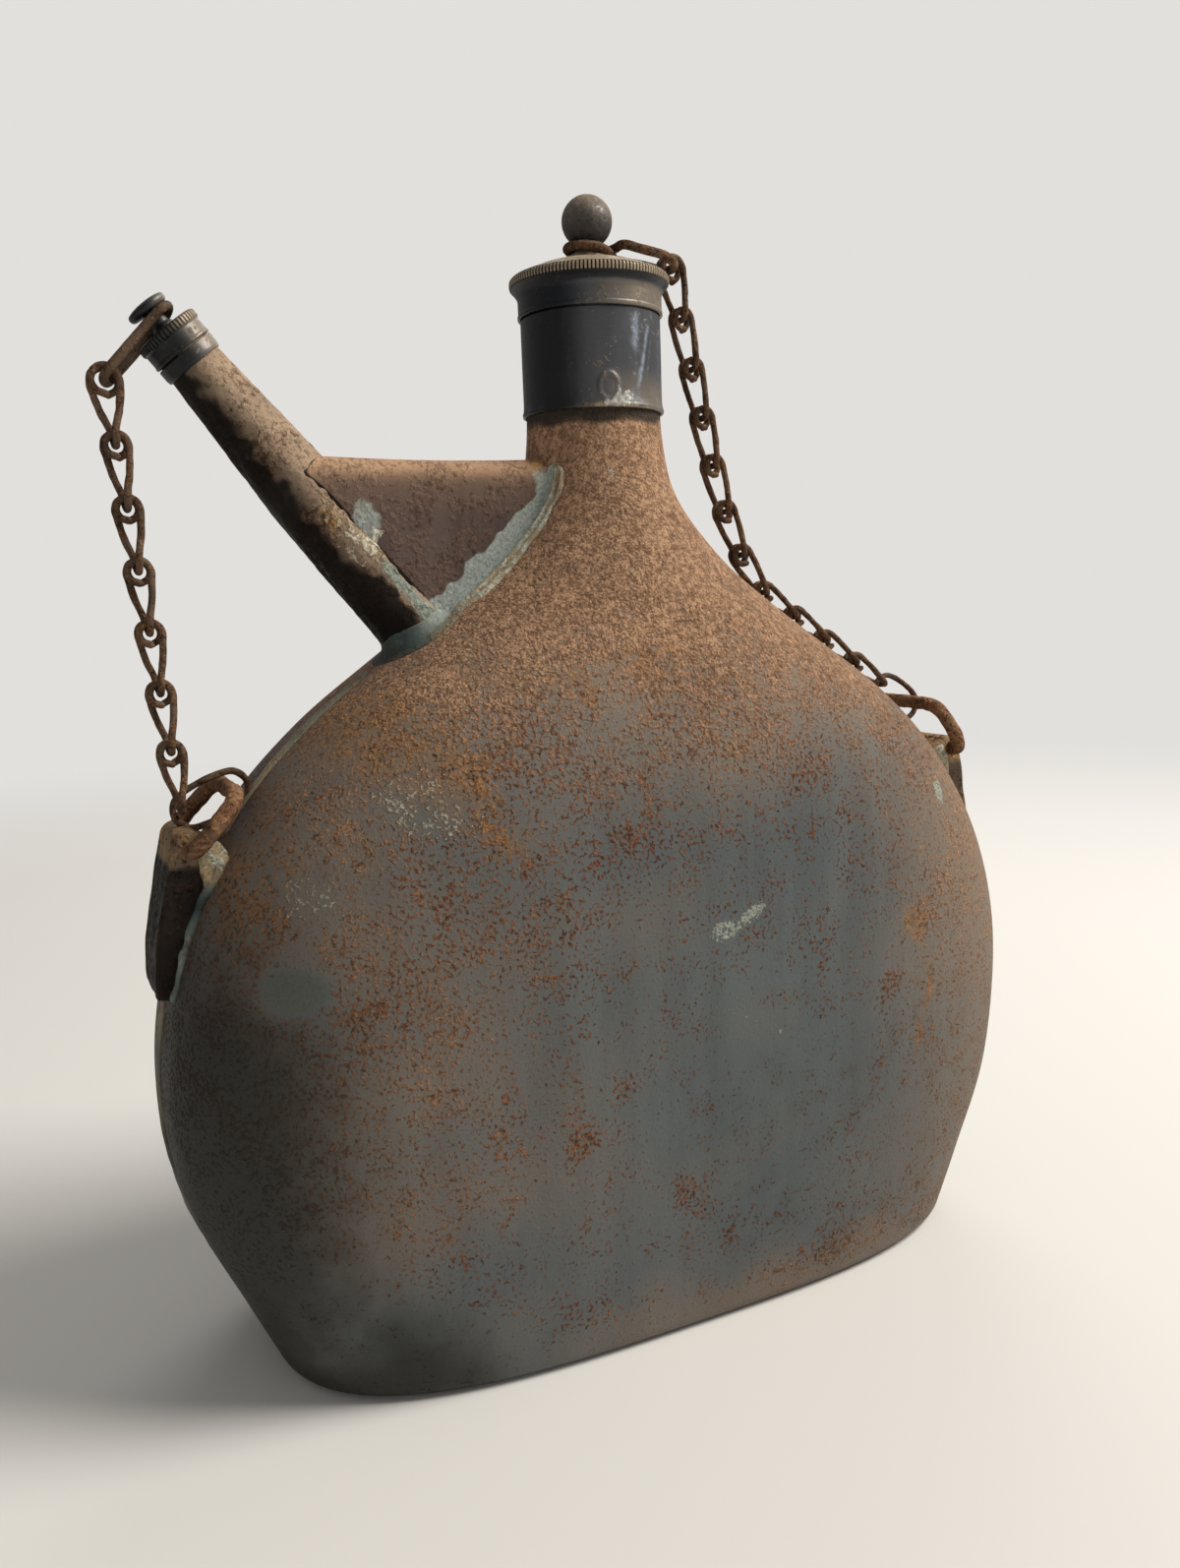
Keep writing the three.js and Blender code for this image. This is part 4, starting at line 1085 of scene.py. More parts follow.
def paintSpout(points):
    # Painted light in tan above and painted shade near black below with a ragged border; crusts on the front,
    # solder down beside the gusset
    along, across = alongSpout(points)
    turn = np.degrees(np.arctan2(points[:, 1], across))
    facing = np.cos(np.radians(turn))
    upper = rise(facing, -0.75, 0.3)

    def spot(angle, height, width, tall):
        return peak((turn - angle + 180) % 360, 180, width) * peak(along, height, tall)

    crust = spot(-98, -41, 20, 5) + spot(-80, -46, 14, 4.5) + 0.8 * spot(-108, -47, 12, 3)
    strip = (1 - rise(along, -53, -47)) * peak(np.abs(turn), 79, 13)
    low = peak(np.abs(turn), 84, 22) * (1 - rise(along, -68, -61))
    ragged = 0.16 * ripple(points, 7, 77) + 0.1 * ripple(points, 3, 78)
    shade = 1.05 * rise(ragged - facing + 0.6 * rise(-along, 42, 58), 0.2, 0.78)
    flecks = upper * rise(ripple(points, 6, 75), 0.5, 1)
    return {
        "cover": 0.44 + 0.25 * ripple(points, 16, 73),
        "haze": 0.95 * upper + 0.15 * ripple(points, 10, 74),
        "film": 0.72 * strip + 0.6 * low,
        "pale": 0.42 * np.minimum(crust, 1.1) + 0.5 * spot(-78, -47, 9, 2.6) + 0.12 * flecks,
        "ochre": 0.6 * spot(-100, -39, 14, 3.4) + 0.35 * upper * rise(ripple(points, 9, 76), 0.3, 1),
        "dark": shade - 0.7 * crust - 0.9 * strip - 0.7 * low,
    }


addPiece("spoutTube", "canteen_body", "spout_tube", "spout", [spoutTube()], paintSpout)


def spoutFoot():
    # Concave fillet: from the tube, through the corner where tube and skin meet, to a ring out on the skin
    turn = np.linspace(0, 2 * math.pi, 120, endpoint=False)[None, :]
    ring = np.stack([np.cos(turn), np.sin(turn)], -1)
    uneven = 1 + 0.16 * ripple(np.concatenate([ring * 8, 0 * ring[..., :1]], -1), 9, 81)
    corner = spoutMeets(turn, 0)
    top = corner + spoutShape["footUp"] * uneven
    out = spoutMeets(turn, spoutShape["footOut"])

    def at(height, grow):
        wide = ring * (spoutRadius(height) + grow)[..., None]
        return fromSpout(np.concatenate([wide, height[..., None]], -1))

    t = np.linspace(0, 1, 16)[:, None, None]
    stop = at(out, spoutShape["footOut"])
    curve = arch(at(top, 0.05), at(corner, 0.05), stop, t)
    edge = at(out, spoutShape["footOut"] - 0.4) - bodyNormal(stop) * 0.5
    return np.concatenate([curve, edge, at(corner, -0.5), at(top, -0.6)]), True, True


def paintFoot(points):
    # Dark teal; its outer edge turns brown with the shoulder, the corner under the gusset is paler
    edge = 1 - rise(bodyDepth(points) - 1, 0.004, 0.05)
    apex = rise(points[:, 0], -48, -39)
    return {
        "cover": 0.15 + 0.15 * ripple(points, 9, 82) + 0.5 * edge,
        "haze": 0.1 + 0.2 * ripple(points, 12, 83) + 0.5 * edge * apex,
        "film": 0.16 + 0.5 * apex * (1 - edge) + 0.1 * ripple(points, 10, 86),
        "dark": 0.7 + 0.12 * ripple(points, 14, 84) - 0.35 * apex,
        "pale": 0.1 + 0.15 * ripple(points, 8, 85),
    }


addPiece("spoutFoot", "canteen_body", "spout_foot", "solder", [spoutFoot()], paintFoot)

# Gusset: one sheet folded over into two leaves between the spout, the neck and the shoulder
gussetShape = {"top": 183.4, "half": 7.3, "fold": 4.2, "sheet": 1.0, "lip": 4.0, "lipUp": 1.3}


def tubeX(depth, height):
    # Right-hand side of the spout tube at a depth and a height
    lean = math.radians(spoutShape["lean"])
    axis = spoutShape["x"] + (spoutShape["z"] - height) * math.tan(lean)
    radius = spoutRadius((height - spoutShape["z"]) / math.cos(lean))
    return axis + np.sqrt(np.clip(radius**2 - depth**2, 0.05, None)) / math.cos(lean)


def leafLow(depth):
    # Height at which spout and skin meet at a depth
    return turningPoint(140.0, 175.0, lambda height: tubeX(depth, height) > -skinX(height, depth))


def gussetSheet():
    # Rows follow the fold from the front leaf's foot over the top to the back leaf's;
    # columns span from spout to neck
    half, fold, top = gussetShape["half"], gussetShape["fold"], gussetShape["top"]
    leafRows, arcRows, flatRows, columns = 43, 10, 7, 70
    low = leafLow(half)
    bend, inset = top - fold, half - fold
    leaf = low + (bend - low) * np.linspace(0, 1, leafRows + 1)[:-1]
    arc = np.linspace(0, math.pi / 2, arcRows)
    flat = np.linspace(-inset, inset, flatRows + 2)[1:-1]
    y = np.concatenate([np.full(leafRows, -half), -inset - fold * np.cos(arc), flat])
    z = np.concatenate([leaf, bend + fold * np.sin(arc), np.full(flatRows, top)])
    mirrored = slice(leafRows + arcRows - 1, None, -1)
    y = np.concatenate([y, -y[mirrored]])[:, None]
    z = np.concatenate([z, z[mirrored]])[:, None]
    left = tubeX(y, z) - 0.5
    right = -skinX(z, y) + 0.5
    t = np.linspace(0, 1, columns)[None, :]
    grid = np.stack([left + (right - left) * t, y + 0 * t, z + 0 * t], -1)
    sag = np.sin(math.pi * t) ** 1.5 * rise(top - z, -1, 6)
    grid[..., 2] -= 0.5 * np.sin(math.pi * t) * rise(z, 178, 183)
    grid[..., 1] += np.sign(y) * (0.25 * ripple(grid, 22, 91) - 0.3) * sag
    return grid, False, False


def paintGusset(points):
    # Solder with a ragged edge along the body, a patch and crusts by the spout, tan on the fold
    x, y, z = points.T
    toTube = (x - tubeX(y, z)) * math.cos(math.radians(spoutShape["lean"]))
    toBody = -skinX(z, y) - x
    slope = np.clip(np.gradient(stations[:, 1], stations[:, 0]), -1.6, 0)
    toBody = toBody / np.sqrt(1 + np.interp(z, stations[:, 0], slope) ** 2)
    toBody = np.where(z > 176, toBody * 0.75, toBody)
    edge = 5.0 + 0.9 * ripple(points, 9, 92) + 0.5 * ripple(points, 2.4, 93) - 2.2 * rise(z, 168, 178)
    rim = 1 - rise(toBody, edge - 0.5, edge + 0.5)
    patch = 1 - ((x + 54.4) / 3.6) ** 2 - ((z - 170.6) / 5.4) ** 2 + 0.3 * ripple(points, 3.4, 90)
    patch = rise(patch, 0, 0.5)
    crust = peak(x, -52.6, 2.2) * peak(z, 168, 2.4) + 0.7 * peak(x, -41, 5) * peak(z, 181, 1)
    foot = 1 - rise(z, 152.5, 156.5)
    top = rise(z, 177, 183)
    return {
        "cover": 0.5 + 0.2 * ripple(points, 10, 94),
        "haze": 0.9 * top + 0.25 * rise(z, 170, 182),
        "film": np.maximum.reduce([rim, foot, 0.55 * patch]) * (1 - 0.8 * top),
        "pale": 0.6 * crust,
        "ochre": 0.35 * top * rise(ripple(points, 8, 95), 0, 1) + 0.75 * rim * rise(z, 172, 179),
        "dark": 1.0 - rise(toTube, 0.1, 0.7),
    }


gusset = addPiece("spoutGusset", "canteen_body", "spout_gusset", "sheet",
                  [gussetSheet()], paintGusset)
fold = gusset.modifiers.new("sheet", "SOLIDIFY")
fold.thickness = gussetShape["sheet"] * mm
fold.offset = -1


def gussetLip(side):
    # Concave lip where a leaf meets the shoulder: leaf, corner, then out over the skin, with a raised edge
    look = gussetShape
    z = np.linspace(leafLow(look["half"]) + 0.6, look["top"] - 1.5, 80)[:, None]
    line = np.concatenate([0 * z, 0 * z, z], 1)
    ends = np.sqrt(np.clip(1 - np.abs(np.linspace(-1, 1, 80)[:, None]) ** 10, 0.02, 1))
    uneven = (1 + 0.14 * ripple(line, 7, 96))[:, None] * ends
    y0 = side * (look["half"] + 0.05)
    corner = np.concatenate([-skinX(z, y0 + 0 * z), y0 + 0 * z, z], 1)
    normal = bodyNormal(corner)
    flatWay = np.stack([normal[:, 0], 0 * normal[:, 1], normal[:, 2]], 1)
    flatWay /= np.linalg.norm(flatWay, axis=1, keepdims=True)
    leafEnd = corner + flatWay * look["lipUp"] * uneven
    y1 = y0 + side * look["lip"] * uneven
    skinEnd = np.concatenate([-skinX(z, y1), y1, z], 1)
    t = np.linspace(0, 1, 26)[None, :, None]
    ridges = (peak(t, 0.64, 0.08) + 0.8 * peak(t, 0.87, 0.07)) * uneven[:, None]
    curve = arch(leafEnd[:, None], corner[:, None], skinEnd[:, None], t) + normal[:, None] * ridges
    below = np.stack([skinEnd - normal * 0.4, corner - normal * 0.5, leafEnd - [0, side * 0.5, 0]], 1)
    return np.concatenate([curve, below], 1), False, True


def paintLip(points):
    # Teal beside the leaf, ochre on the two ridges, dark in the groove between them
    out = (np.abs(points[:, 1]) - gussetShape["half"]) / gussetShape["lip"]
    ridge = rise(out, 0.24, 0.36)
    groove = peak(out, 0.59, 0.06)
    return {
        "cover": 0.3 + 0.2 * ripple(points, 8, 97),
        "haze": 0.95 * ridge + 0.2 * ripple(points, 12, 98),
        "film": 0.8 * (1 - ridge),
        "pale": 0.54 * ridge + 0.15 * ripple(points, 6, 99),
        "ochre": 0.5 * ridge + 0.2 * ripple(points, 9, 100),
        "dark": 0.55 * groove - 0.05 + 0.05 * ripple(points, 5, 101),
    }


for side, label in ((-1, "front"), (1, "back")):
    addPiece(label + "GussetLip", "canteen_body", "gusset_bead_" + label, "solder",
             [gussetLip(side)], paintLip)
print("spout and gusset made")

# Spout mouth: collar, knurled cap and button, turned in the spout's frame; rows are radius, height, fillet
mouthShape = {
    "teeth": 50,
    "toothDepth": 0.32,
    "slits": (4.35, 5.9),
    "collar": [
        (5.1, 1.2, 0), (5.1, -1.9, 0.05), (5.85, -1.9, 0.25), (6.06, -1.2, 0.3), (6.06, 0.9, 0.2),
        (4.5, 0.9, 0.05), (4.5, 4.1, 0.15), (3.4, 4.1, 0.15), (3.4, 1.2, 0.05), (5.1, 1.2, 0),
    ],
    "cap": [
        (0, 5.2, 0), (4.8, 5.2, 0.1), (4.8, 1.2, 0.05), (6.16, 1.2, 0.2), (6.16, 1.7, 0.1),
        (6.04, 1.9, 0.15), (6.06, 4.1, 0.2), (6.42, 4.4, 0.1), (6.46, 5.7, 0.25), (5.9, 6.05, 0.3),
        (3.2, 6.1, 0.5), (0, 6.15, 0),
    ],
    "button": [
        (0, 6.3, 0), (2.3, 6.3, 0.1), (2.2, 6.6, 0.2), (1.7, 7.0, 0.3), (1.7, 9.6, 0.3), (3.7, 9.8, 0.3),
        (4.1, 10.4, 0.4), (3.9, 11.2, 0.5), (2.4, 11.6, 0.8), (0, 11.75, 0),
    ],
}


def mouthKnurl(turn, height, radius):
    # Slits: the radius falls in narrow notches round the cap's rim
    low, high = mouthShape["slits"]
    slit = rise(np.cos(mouthShape["teeth"] * turn), 0.0, 0.8)
    band = rise(height, low, low + 0.15) * (1 - rise(height, high - 0.15, high)) * (radius > 5.6)
    return -mouthShape["toothDepth"] * slit * band


def paintMouth(points):
    # Painted light in tan above and painted shade below, tan on the rim's teeth, pale crust where the collar
    # meets the tube
    along, across = alongSpout(points)
    upper = rise(across, -3, 5)
    crust = peak(along, -0.5, 0.8) * (0.55 + 0.5 * ripple(points, 4, 112)) * rise(across, -2, 2)
    return {
        "cover": 0.24 + 0.15 * ripple(points, 5, 111),
        "haze": 0.5 * upper + 0.5 * rise(along, 4.2, 5) * rise(np.hypot(across, points[:, 1]), 6.1, 6.35),
        "pale": 0.75 * crust,
        "dark": 0.95 * (1 - upper),
        "ochre": 0.15 * upper * rise(ripple(points, 6, 113), 0.2, 1),
    }


def addMouthPiece(name, body, profile, longest, columns, sharp, swell=None):
    # One of the mouth's profiles turned about the spout's axis
    grid, closeRows, closeColumns = turned(roundedProfile(mouthShape[profile], longest), columns, swell)
    addPiece(name, body, "spout_" + profile, "tin",
             [(fromSpout(grid), closeRows, closeColumns)], paintMouth, sharp)


addMouthPiece("spoutCollar", "canteen_body", "collar", 0.3, 96, 50)
addMouthPiece("spoutCap", "spout_screw_cap", "cap", 0.25, mouthShape["teeth"] * 8, 50, mouthKnurl)
addMouthPiece("spoutButton", "spout_screw_cap", "button", 0.25, 56, 60)

# Long pear-shaped link round the button's stem
pearShape = {
    "wire": 0.9,
    "big": 3.3,
    "small": 1.6,
    "flat": 1.2,
    "height": 8.0,
    "hang": (-10.1, 0, -11.1),
    "roll": 13,
}
groove = fromSpout(np.array([0, 0, pearShape["height"]]))
chainTop = groove + np.array(pearShape["hang"])


def pearPath(look):
    # A large part circle about the stem, then a small one at the chain's end
    axis = chainTop - groove
    length = np.linalg.norm(axis)
    axis = axis / length
    turn = np.radians(75 + 35 * np.arange(7))
    big = np.stack([look["big"] * np.cos(turn), look["big"] * np.sin(turn)], 1)
    i = np.arange(6)
    turn = np.radians(np.where(i < 3, -80 + 40 * i, 40 * i - 120))
    flat = np.where(i < 3, -look["flat"], look["flat"])
    small = look["small"] * np.stack([np.cos(turn), np.sin(turn)], 1)
    small = small + np.stack([np.full(6, length - look["small"]), flat], 1)
    loop = np.vstack([big, small])
    roll = math.radians(look["roll"])
    across = np.array([0, math.cos(roll), 0]) + math.sin(roll) * np.array([-axis[2], 0, axis[0]])
    return groove + loop[:, :1] * axis + loop[:, 1:] * across


paintPear = wandering({
    "cover": (0.3, 0.25, 6, 121),
    "haze": (0.35, 0.3, 9, 122),
    "dark": (0.3, 0.25, 8, 123),
})
pearLine = smoothPath(pearPath(pearShape), 130, True)
addPiece("pearLink", "pear_link", "spout_pear_link", "wire",
         [wireGrid(pearLine, pearShape["wire"], 14, True, 0.03, 124)], paintPear)

# Chains: each link is one wire, a bow at its lower end and two curled eyes at its upper end
chainShape = {
    "wire": 0.7,
    "eyeSpread": 1.0,
    "eyeRadius": 2.1,
    "firstEye": 2.5,
    "bowHalf": 2.6,
    "leftLinks": 7,
    "rightLinks": 11,
    "leftEnd": (-8.9, -3.7),
    "rightEnd": (-7.1, 4.7),
    "rightRoute": [(27.5, 193.99), (33, 173.406), (40.6, 157.2), (49.2, 149.992)],
}
ringShape = {
    "wire": 1.65,
    "x": 92.9956,
    "z": {-1: 110.005, 1: 113.2},
    "height": 13.4,
    "half": 14.2,
    "lean": {-1: 43.5, 1: 29},
}
endShape = {"half": {-1: 3.8, 1: 3.9}, "slack": {-1: 1.7, 1: 2.0}, "drop": {-1: 0.6, 1: 0.5}, "room": 0.3}


def ringTip(side):
    # X and Z of the strap ring's top: its height laid over by its lean
    lean = math.radians(ringShape["lean"][side])
    return np.array([side * (ringShape["x"] - ringShape["height"] * math.sin(lean)),
                     ringShape["z"][side] + ringShape["height"] * math.cos(lean)])


def linkPath(start, stop, radius):
    # Both legs mirror each other about the bow's middle point
    look = chainShape
    along = stop - start
    pitch = np.linalg.norm(along)
    along = along / pitch
    across = np.array([along[1], -along[0]])
    curl = np.radians([0, 45, 90, 135, 180, 222, 262])
    leg = np.array([
        [pitch - 0.25, 0, 0.56 * look["bowHalf"]],
        [pitch - 1.4, 0.1, look["bowHalf"] - 0.2],
        [pitch - 3.1, 0.3, look["bowHalf"]],
        [pitch - 6.2, 0.6 * radius, 0.7 * look["bowHalf"]],
        [1.6, radius - 0.15, look["eyeSpread"] + 0.1],
    ])
    eye = np.stack([-radius * np.sin(curl), radius * np.cos(curl), np.full(7, look["eyeSpread"])], 1)
    leg = np.vstack([leg, eye])
    path = np.vstack([(leg * [1, -1, -1])[::-1], [[pitch, 0, 0]], leg])
    flat = start + path[:, :1] * along + path[:, 1:2] * across
    return np.stack([flat[:, 0], path[:, 2], flat[:, 1]], 1)


def endPath(start, stop, side):
    # Plain oval round the last bow and the strap ring
    half = endShape["half"][side]
    along = stop - start
    length = np.linalg.norm(along)
    along = along / length
    across = np.array([-along[1], along[0]])
    first = half - 2 * chainShape["wire"] - endShape["room"]
    last = length - half + ringShape["wire"] + chainShape["wire"] + endShape["slack"][side]
    turn = np.radians(np.concatenate([90 + 45 * np.arange(5), -90 + 45 * np.arange(5)]))
    centre = np.repeat([first, last], 5)
    u = centre + half * np.cos(turn)
    v = half * np.sin(turn) - endShape["drop"][side]
    flat = start + u[:, None] * along + v[:, None] * across
    return np.stack([flat[:, 0], 0 * u, flat[:, 1]], 1)


def evenSpline(route, count):
    # Uniform Catmull-Rom through the route, cut into equal lengths
    p = np.vstack([route[:1], route, route[-1:]])
    t = np.linspace(0, 1, 400, endpoint=False)[None, :, None]
    p0, p1, p2, p3 = (q[:, None] for q in (p[:-3], p[1:-2], p[2:-1], p[3:]))
    v0, v1 = (p2 - p0) / 2, (p3 - p1) / 2
    dense = (2 * p1 - 2 * p2 + v0 + v1) * t**3 + (3 * p2 - 3 * p1 - 2 * v0 - v1) * t**2 + v0 * t + p1
    dense = np.vstack([dense.reshape(-1, 2), route[-1:]])
    return pointsAt(dense, np.linspace(0, lengths(dense)[-1], count + 1))


leftRun = np.stack([chainTop[[0, 2]], ringTip(-1) + chainShape["leftEnd"]])
hookEnd = (hookShape["reach"], hookShape["far"])
rightRun = np.array([hookEnd, *chainShape["rightRoute"], ringTip(1) + chainShape["rightEnd"]])
for side, label, run in ((-1, "left", leftRun), (1, "right", rightRun)):
    joints = evenSpline(run, chainShape[label + "Links"])
    for i in range(len(joints) - 1):
        radius = chainShape["eyeRadius" if i else "firstEye"]
        path = smoothPath(linkPath(joints[i], joints[i + 1], radius), 110, False)
        grid = wireGrid(path, chainShape["wire"], 12, False, 0.06, 130 + i)
        addPiece(f"{label}ChainLink{i + 1}", f"{label}_link_{i + 1}", f"{label}_chain_link_{i + 1}",
                 "wire", [grid], paintWire)
    path = smoothPath(endPath(joints[-1], ringTip(side), side), 100, True)
    addPiece(label + "EndLink", label + "_end", label + "_end_link", "wire",
             [wireGrid(path, chainShape["wire"], 12, True, 0.06, 150)], paintWire)
print("chains made")


# Strap rings and the folded lugs that hold them
def ringPath(side):
    # Half outline of the squared loop, mirrored, in a plane that leans over the shoulder
    lean = math.radians(ringShape["lean"][side])
    half = np.array([
        (0, 0), (0.62, 0), (0.92, 0.05), (1, 0.26), (0.97, 0.58), (0.86, 0.87), (0.6, 0.99), (0.3, 1),
    ])
    outline = np.vstack([half, [[0, 1]], (half[1:] * [-1, 1])[::-1]])
    y = outline[:, 0] * ringShape["half"]
    h = outline[:, 1] * ringShape["height"]
    x = side * (ringShape["x"] - h * math.sin(lean))
    return np.stack([x, y, ringShape["z"][side] + h * math.cos(lean)], 1)


paintRing = wandering({
    "cover": (0.7, 0.3, 9, 161),
    "haze": (0.5, 0.3, 12, 162),
    "dark": (0.2, 0.35, 10, 163),
    "ochre": (0.25, 0.3, 8, 164),
    "pale": (0.05, 0.12, 5, 165),
})
lugShape = {
    "sheet": 1.15,
    "half": 10.4,
    "drop": 29.0,
    "x": 102.6,
    "room": 0.3,
    "edge": 1.7,
    "waist": 0.9,
    "reach": 2.6,
    "solder": (1.5, 0.7),
    "lump": (3.9, -3.9),
    "lumpHalf": (2.9, 1.4, 5.4),
}


def lugWidth(height, side):
    # The lug widens towards the ring
    return lugShape["waist"] + (1 - lugShape["waist"]) * rise(height - ringShape["z"][side], -12, -4)


def ringLug(side):
    # Outline in X and Z: up the outside, round the ring's bar, down to the skin; carried along Y with
    # round edges, where it shrinks along its own normal, then closed on to the skin at both ends
    look = lugShape
    bar = ringShape["z"][side]
    outer = ringShape["wire"] + look["room"] + look["sheet"]
    arc = np.radians(np.linspace(12, 135, 22))
    barrel = np.stack([ringShape["x"] + outer * np.cos(arc), bar + outer * np.sin(arc)], 1)
    t = np.linspace(0, 1, 34)[:, None]
    face = np.array([[look["x"] - 0.6, bar - look["drop"] + 0.6]]) * (1 - t) + barrel[:1] * t
    face[:, 0] += 0.5 * np.sin(math.pi * t[:, 0]) - 0.9 * (1 - t[:, 0]) ** 8
    t = np.linspace(0, 1, 8)[1:, None]
    foot = bar - look["reach"]
    back = barrel[-1:] * (1 - t) + np.array([[skinX(foot, 0) - look["reach"], foot]]) * t
    outline = np.vstack([face[:-1], barrel, back])
    along = np.gradient(outline, axis=0)
    along /= np.linalg.norm(along, axis=1, keepdims=True)
    outward = np.stack([along[:, 1], -along[:, 0]], 1)
    turn = np.linspace(0, math.pi / 2, 7)
    run = np.concatenate([np.linspace(0, 1, 12)[:-1] * (look["half"] - look["edge"]),
                          look["half"] - look["edge"] * (1 - np.sin(turn))])
    inset = np.concatenate([np.zeros(11), look["edge"] * (1 - np.cos(turn))])
    y = np.concatenate([[-run[-1]], -run[::-1], run[1:], [run[-1]]])
    inset = np.concatenate([inset[-1:], inset[::-1], inset[1:], inset[-1:]])
    flat = outline[:, None, :] - outward[:, None, :] * inset[None, :, None]
    wide = y[None, :] * lugWidth(flat[..., 1], side)
    skin = skinX(flat[..., 1], wide) - 0.5
    x = np.maximum(flat[..., 0], skin)
    ridge = flat[-len(back) - 1:, 0][::-1]
    closing = np.interp(flat[:, 0, 1], ridge[:, 1], ridge[:, 0], left=0, right=ringShape["x"])
    x[:, 0] = np.maximum(skin[:, 0], closing)
    x[:, -1] = x[:, 0]
    grid = np.stack([x, wide, flat[..., 1]], -1)
    grid[..., 0] += 0.12 * ripple(grid, 7, 175)
    base = grid[:1].copy()
    base[..., 0] = skin[:1]
    base[..., 2] -= 0.5
    return np.concatenate([base, grid]) * [side, 1, 1], False, False


def lugSolder(side):
    # A bead down each corner between lug and skin, thinner towards its foot, and a lump at the top in front
    look = lugShape
    bar = ringShape["z"][side]
    z = np.linspace(bar - 2.5, bar - look["drop"] + 1, 60)
    beads = []
    for way in (-1, 1):
        y = way * (look["half"] * lugWidth(z, side) + 0.2)
        path = np.stack([side * (skinX(z, y) + 0.1), y, z], 1)
        path[:, 0] += side * 0.3 * ripple(path, 6, 176)
        skin, _, _ = wireGrid(path, 1.0, 12, False)
        width = np.interp(skin.mean(1)[:, 2], [z[-1], z[0]], look["solder"][::-1])[:, None, None]
        middle = skin.mean(1, keepdims=True)
        lumpy = 1 + 0.2 * ripple(skin, 4, 177)[..., None]
        beads.append((middle + (skin - middle) * width * lumpy, False, True))
    up = np.linspace(-math.pi / 2, math.pi / 2, 22)[:, None]
    turn = np.linspace(0, 2 * math.pi, 32, endpoint=False)[None, :]
    ball = np.stack([np.cos(up) * np.cos(turn), np.cos(up) * np.sin(turn), np.sin(up) + 0 * turn], -1)
    half = np.array(look["lumpHalf"])
    middle = np.array([side * (ringShape["x"] - look["lump"][0]), -look["half"] + 0.3, bar + look["lump"][1]])
    lump = middle + ball * half * (1 + 0.13 * ripple(ball * half, 4.5, 178))[..., None]
    return beads + [(lump, False, True)]


def aboveBar(points):
    # Height above the bar of the ring on the point's own side
    return points[:, 2] - np.where(points[:, 0] < 0, ringShape["z"][-1], ringShape["z"][1])


def paintLug(points):
    # Brown round the bar, dark below it; the left lug's extra dark and lack of tan are painted shade
    left = points[:, 0] < 0
    barrel = rise(aboveBar(points), -3.8, -2.4)
    return {
        "cover": 0.5 + 0.3 * ripple(points, 10, 171),
        "haze": np.where(left, 0.02, 0.3) + 0.12 * ripple(points, 14, 172) + 0.45 * barrel,
        "dark": np.where(left, 0.88, 0.5) + 0.15 * ripple(points, 11, 173) - 0.7 * barrel,
        "ochre": np.where(left, 0.12, 0.22) + 0.15 * ripple(points, 9, 174) + 0.35 * barrel,
        "pale": 0.1,
    }


def paintLugSolder(points):
    # Pale ochre on the lump in front, teal grey down the beads
    up = aboveBar(points)
    lump = rise(up, -9, -5) * (points[:, 1] < 0)
    return {
        "cover": 0.3 + 0.2 * ripple(points, 7, 179),
        "haze": 0.6 * lump + 0.15 * ripple(points, 6, 180),
        "film": 0.3 * (1 - lump) + 0.15 * ripple(points, 8, 184),
        "dark": 0.5 - 0.7 * lump + 0.3 * ripple(points, 10, 181),
        "ochre": 0.6 * lump + 0.15 * ripple(points, 5, 182),
        "pale": 0.46 * rise(up, -6, -3) * lump + 0.1 * ripple(points, 4, 183),
    }


for side, label in ((-1, "left"), (1, "right")):
    path = smoothPath(ringPath(side), 180, True)
    addPiece(label + "StrapRing", label + "_ring", label + "_strap_ring", "ring",
             [wireGrid(path, ringShape["wire"], 18, True, 0.1, 166 + side)], paintRing)
    addPiece(label + "RingLug", "canteen_body", label + "_ring_lug", "spout",
             [ringLug(side)], paintLug, 55)
    addPiece(label + "LugSolder", "canteen_body", None, "solder",
             lugSolder(side), paintLugSolder)
print("rings and lugs made")

# Hidden washers keep their CAD shape
for node in ("main_cap_seal", "spout_cap_seal"):
    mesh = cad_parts[node].data
    mesh.materials.clear()
    mesh.materials.append(finishes["leather"])

# Plain pale floor, soft light from the upper right, pale surroundings
studioLook = {
    "floor": colour(222, 220, 216),
    "floorPatch": colour(216, 214, 210),
    "floorHalf": 8.0,
    "floorDrop": 0.0002,
    "fadeFrom": 0.28,
    "fadeTo": 1.1,
    "sky": colour(226, 224, 221),
    "fill": 0.38,
    "aim": (0, 0, 0.11),
    "lamps": [
        ("keyLamp", (1.0, -0.55, 1.3), 0.8, 32.0, colour(255, 250, 242)),
        ("softLamp", (-0.3, -1.1, 0.5), 0.9, 0.6, colour(246, 250, 255)),
        ("backLamp", (0.6, 0.9, 0.8), 0.8, 3.5, colour(255, 252, 248)),
    ],
}


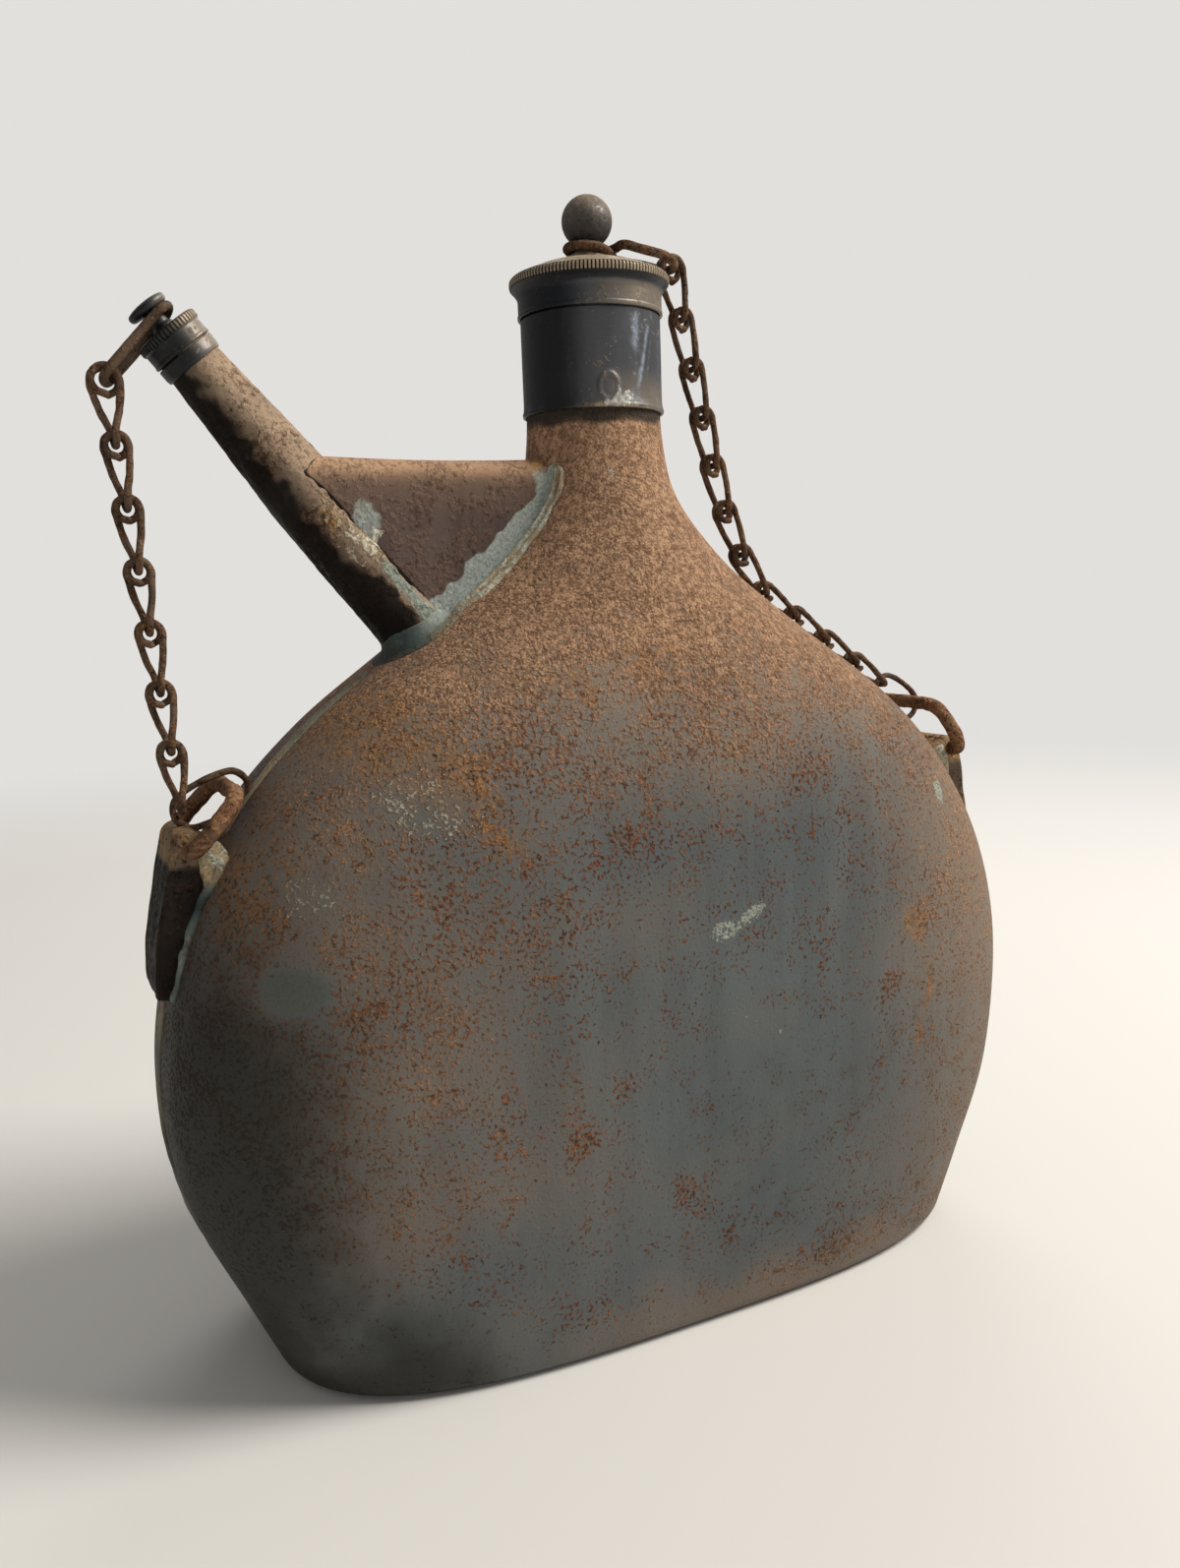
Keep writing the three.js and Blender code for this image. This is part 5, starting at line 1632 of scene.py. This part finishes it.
def addFloor(look):
    # Pale floor near the canteen; further off the camera sees the colour of the surroundings
    material, shader, place = newMaterial("paleFloor")
    tree = place.tree
    patch = place.noise(400, 2.0, 0.5)
    tone = (patch.ramp(0.3, 0.7) * 0.15).tint(look["floor"], look["floorPatch"])
    tree.links.new(tone.socket, shader.inputs["Base Color"])
    shader.inputs["Roughness"].default_value = 0.8
    away = place.node("VectorMath", {"operation": "LENGTH"}, {0: place}, 1)
    seen = place.node("LightPath", None, None, 0)
    far = away.ramp(look["fadeFrom"], look["fadeTo"]) * seen
    glow = place.node("Emission", None, {"Color": look["sky"], "Strength": 1.0})
    plain = Flow(tree, shader.outputs[0])
    both = place.node("MixShader", None, {0: far, 1: plain, 2: glow})
    tree.links.new(both.socket, tree.nodes["Material Output"].inputs["Surface"])
    half = look["floorHalf"]
    mesh = bpy.data.meshes.new("floor")
    corners = [(u * half, v * half, -look["floorDrop"]) for u, v in ((-1, -1), (1, -1), (1, 1), (-1, 1))]
    mesh.from_pydata(corners, [], [(0, 1, 2, 3)])
    mesh.materials.append(material)
    floor = bpy.data.objects.new("floor", mesh)
    bpy.context.scene.collection.objects.link(floor)


def addLight(look):
    # The surroundings light at the fill level; the eye sees them at full
    world = bpy.data.worlds.new("studio")
    bpy.context.scene.world = world
    world.use_nodes = True
    tree = world.node_tree
    seen = Flow(tree, tree.nodes.new("ShaderNodeLightPath").outputs["Is Camera Ray"])
    strength = look["fill"] + seen * (1 - look["fill"])
    shade = tree.nodes["Background"]
    shade.inputs["Color"].default_value = look["sky"]
    tree.links.new(strength.socket, shade.inputs["Strength"])
    for name, place, size, power, tone in look["lamps"]:
        data = bpy.data.lights.new(name, "AREA")
        data.shape = "DISK"
        data.size = size
        data.energy = power
        data.color = tone[:3]
        lamp = bpy.data.objects.new(name, data)
        lamp.location = place
        back = Vector(place) - Vector(look["aim"])
        lamp.rotation_euler = back.to_track_quat("Z", "Y").to_euler()
        bpy.context.scene.collection.objects.link(lamp)


addFloor(studioLook)
addLight(studioLook)
print("stage lit")
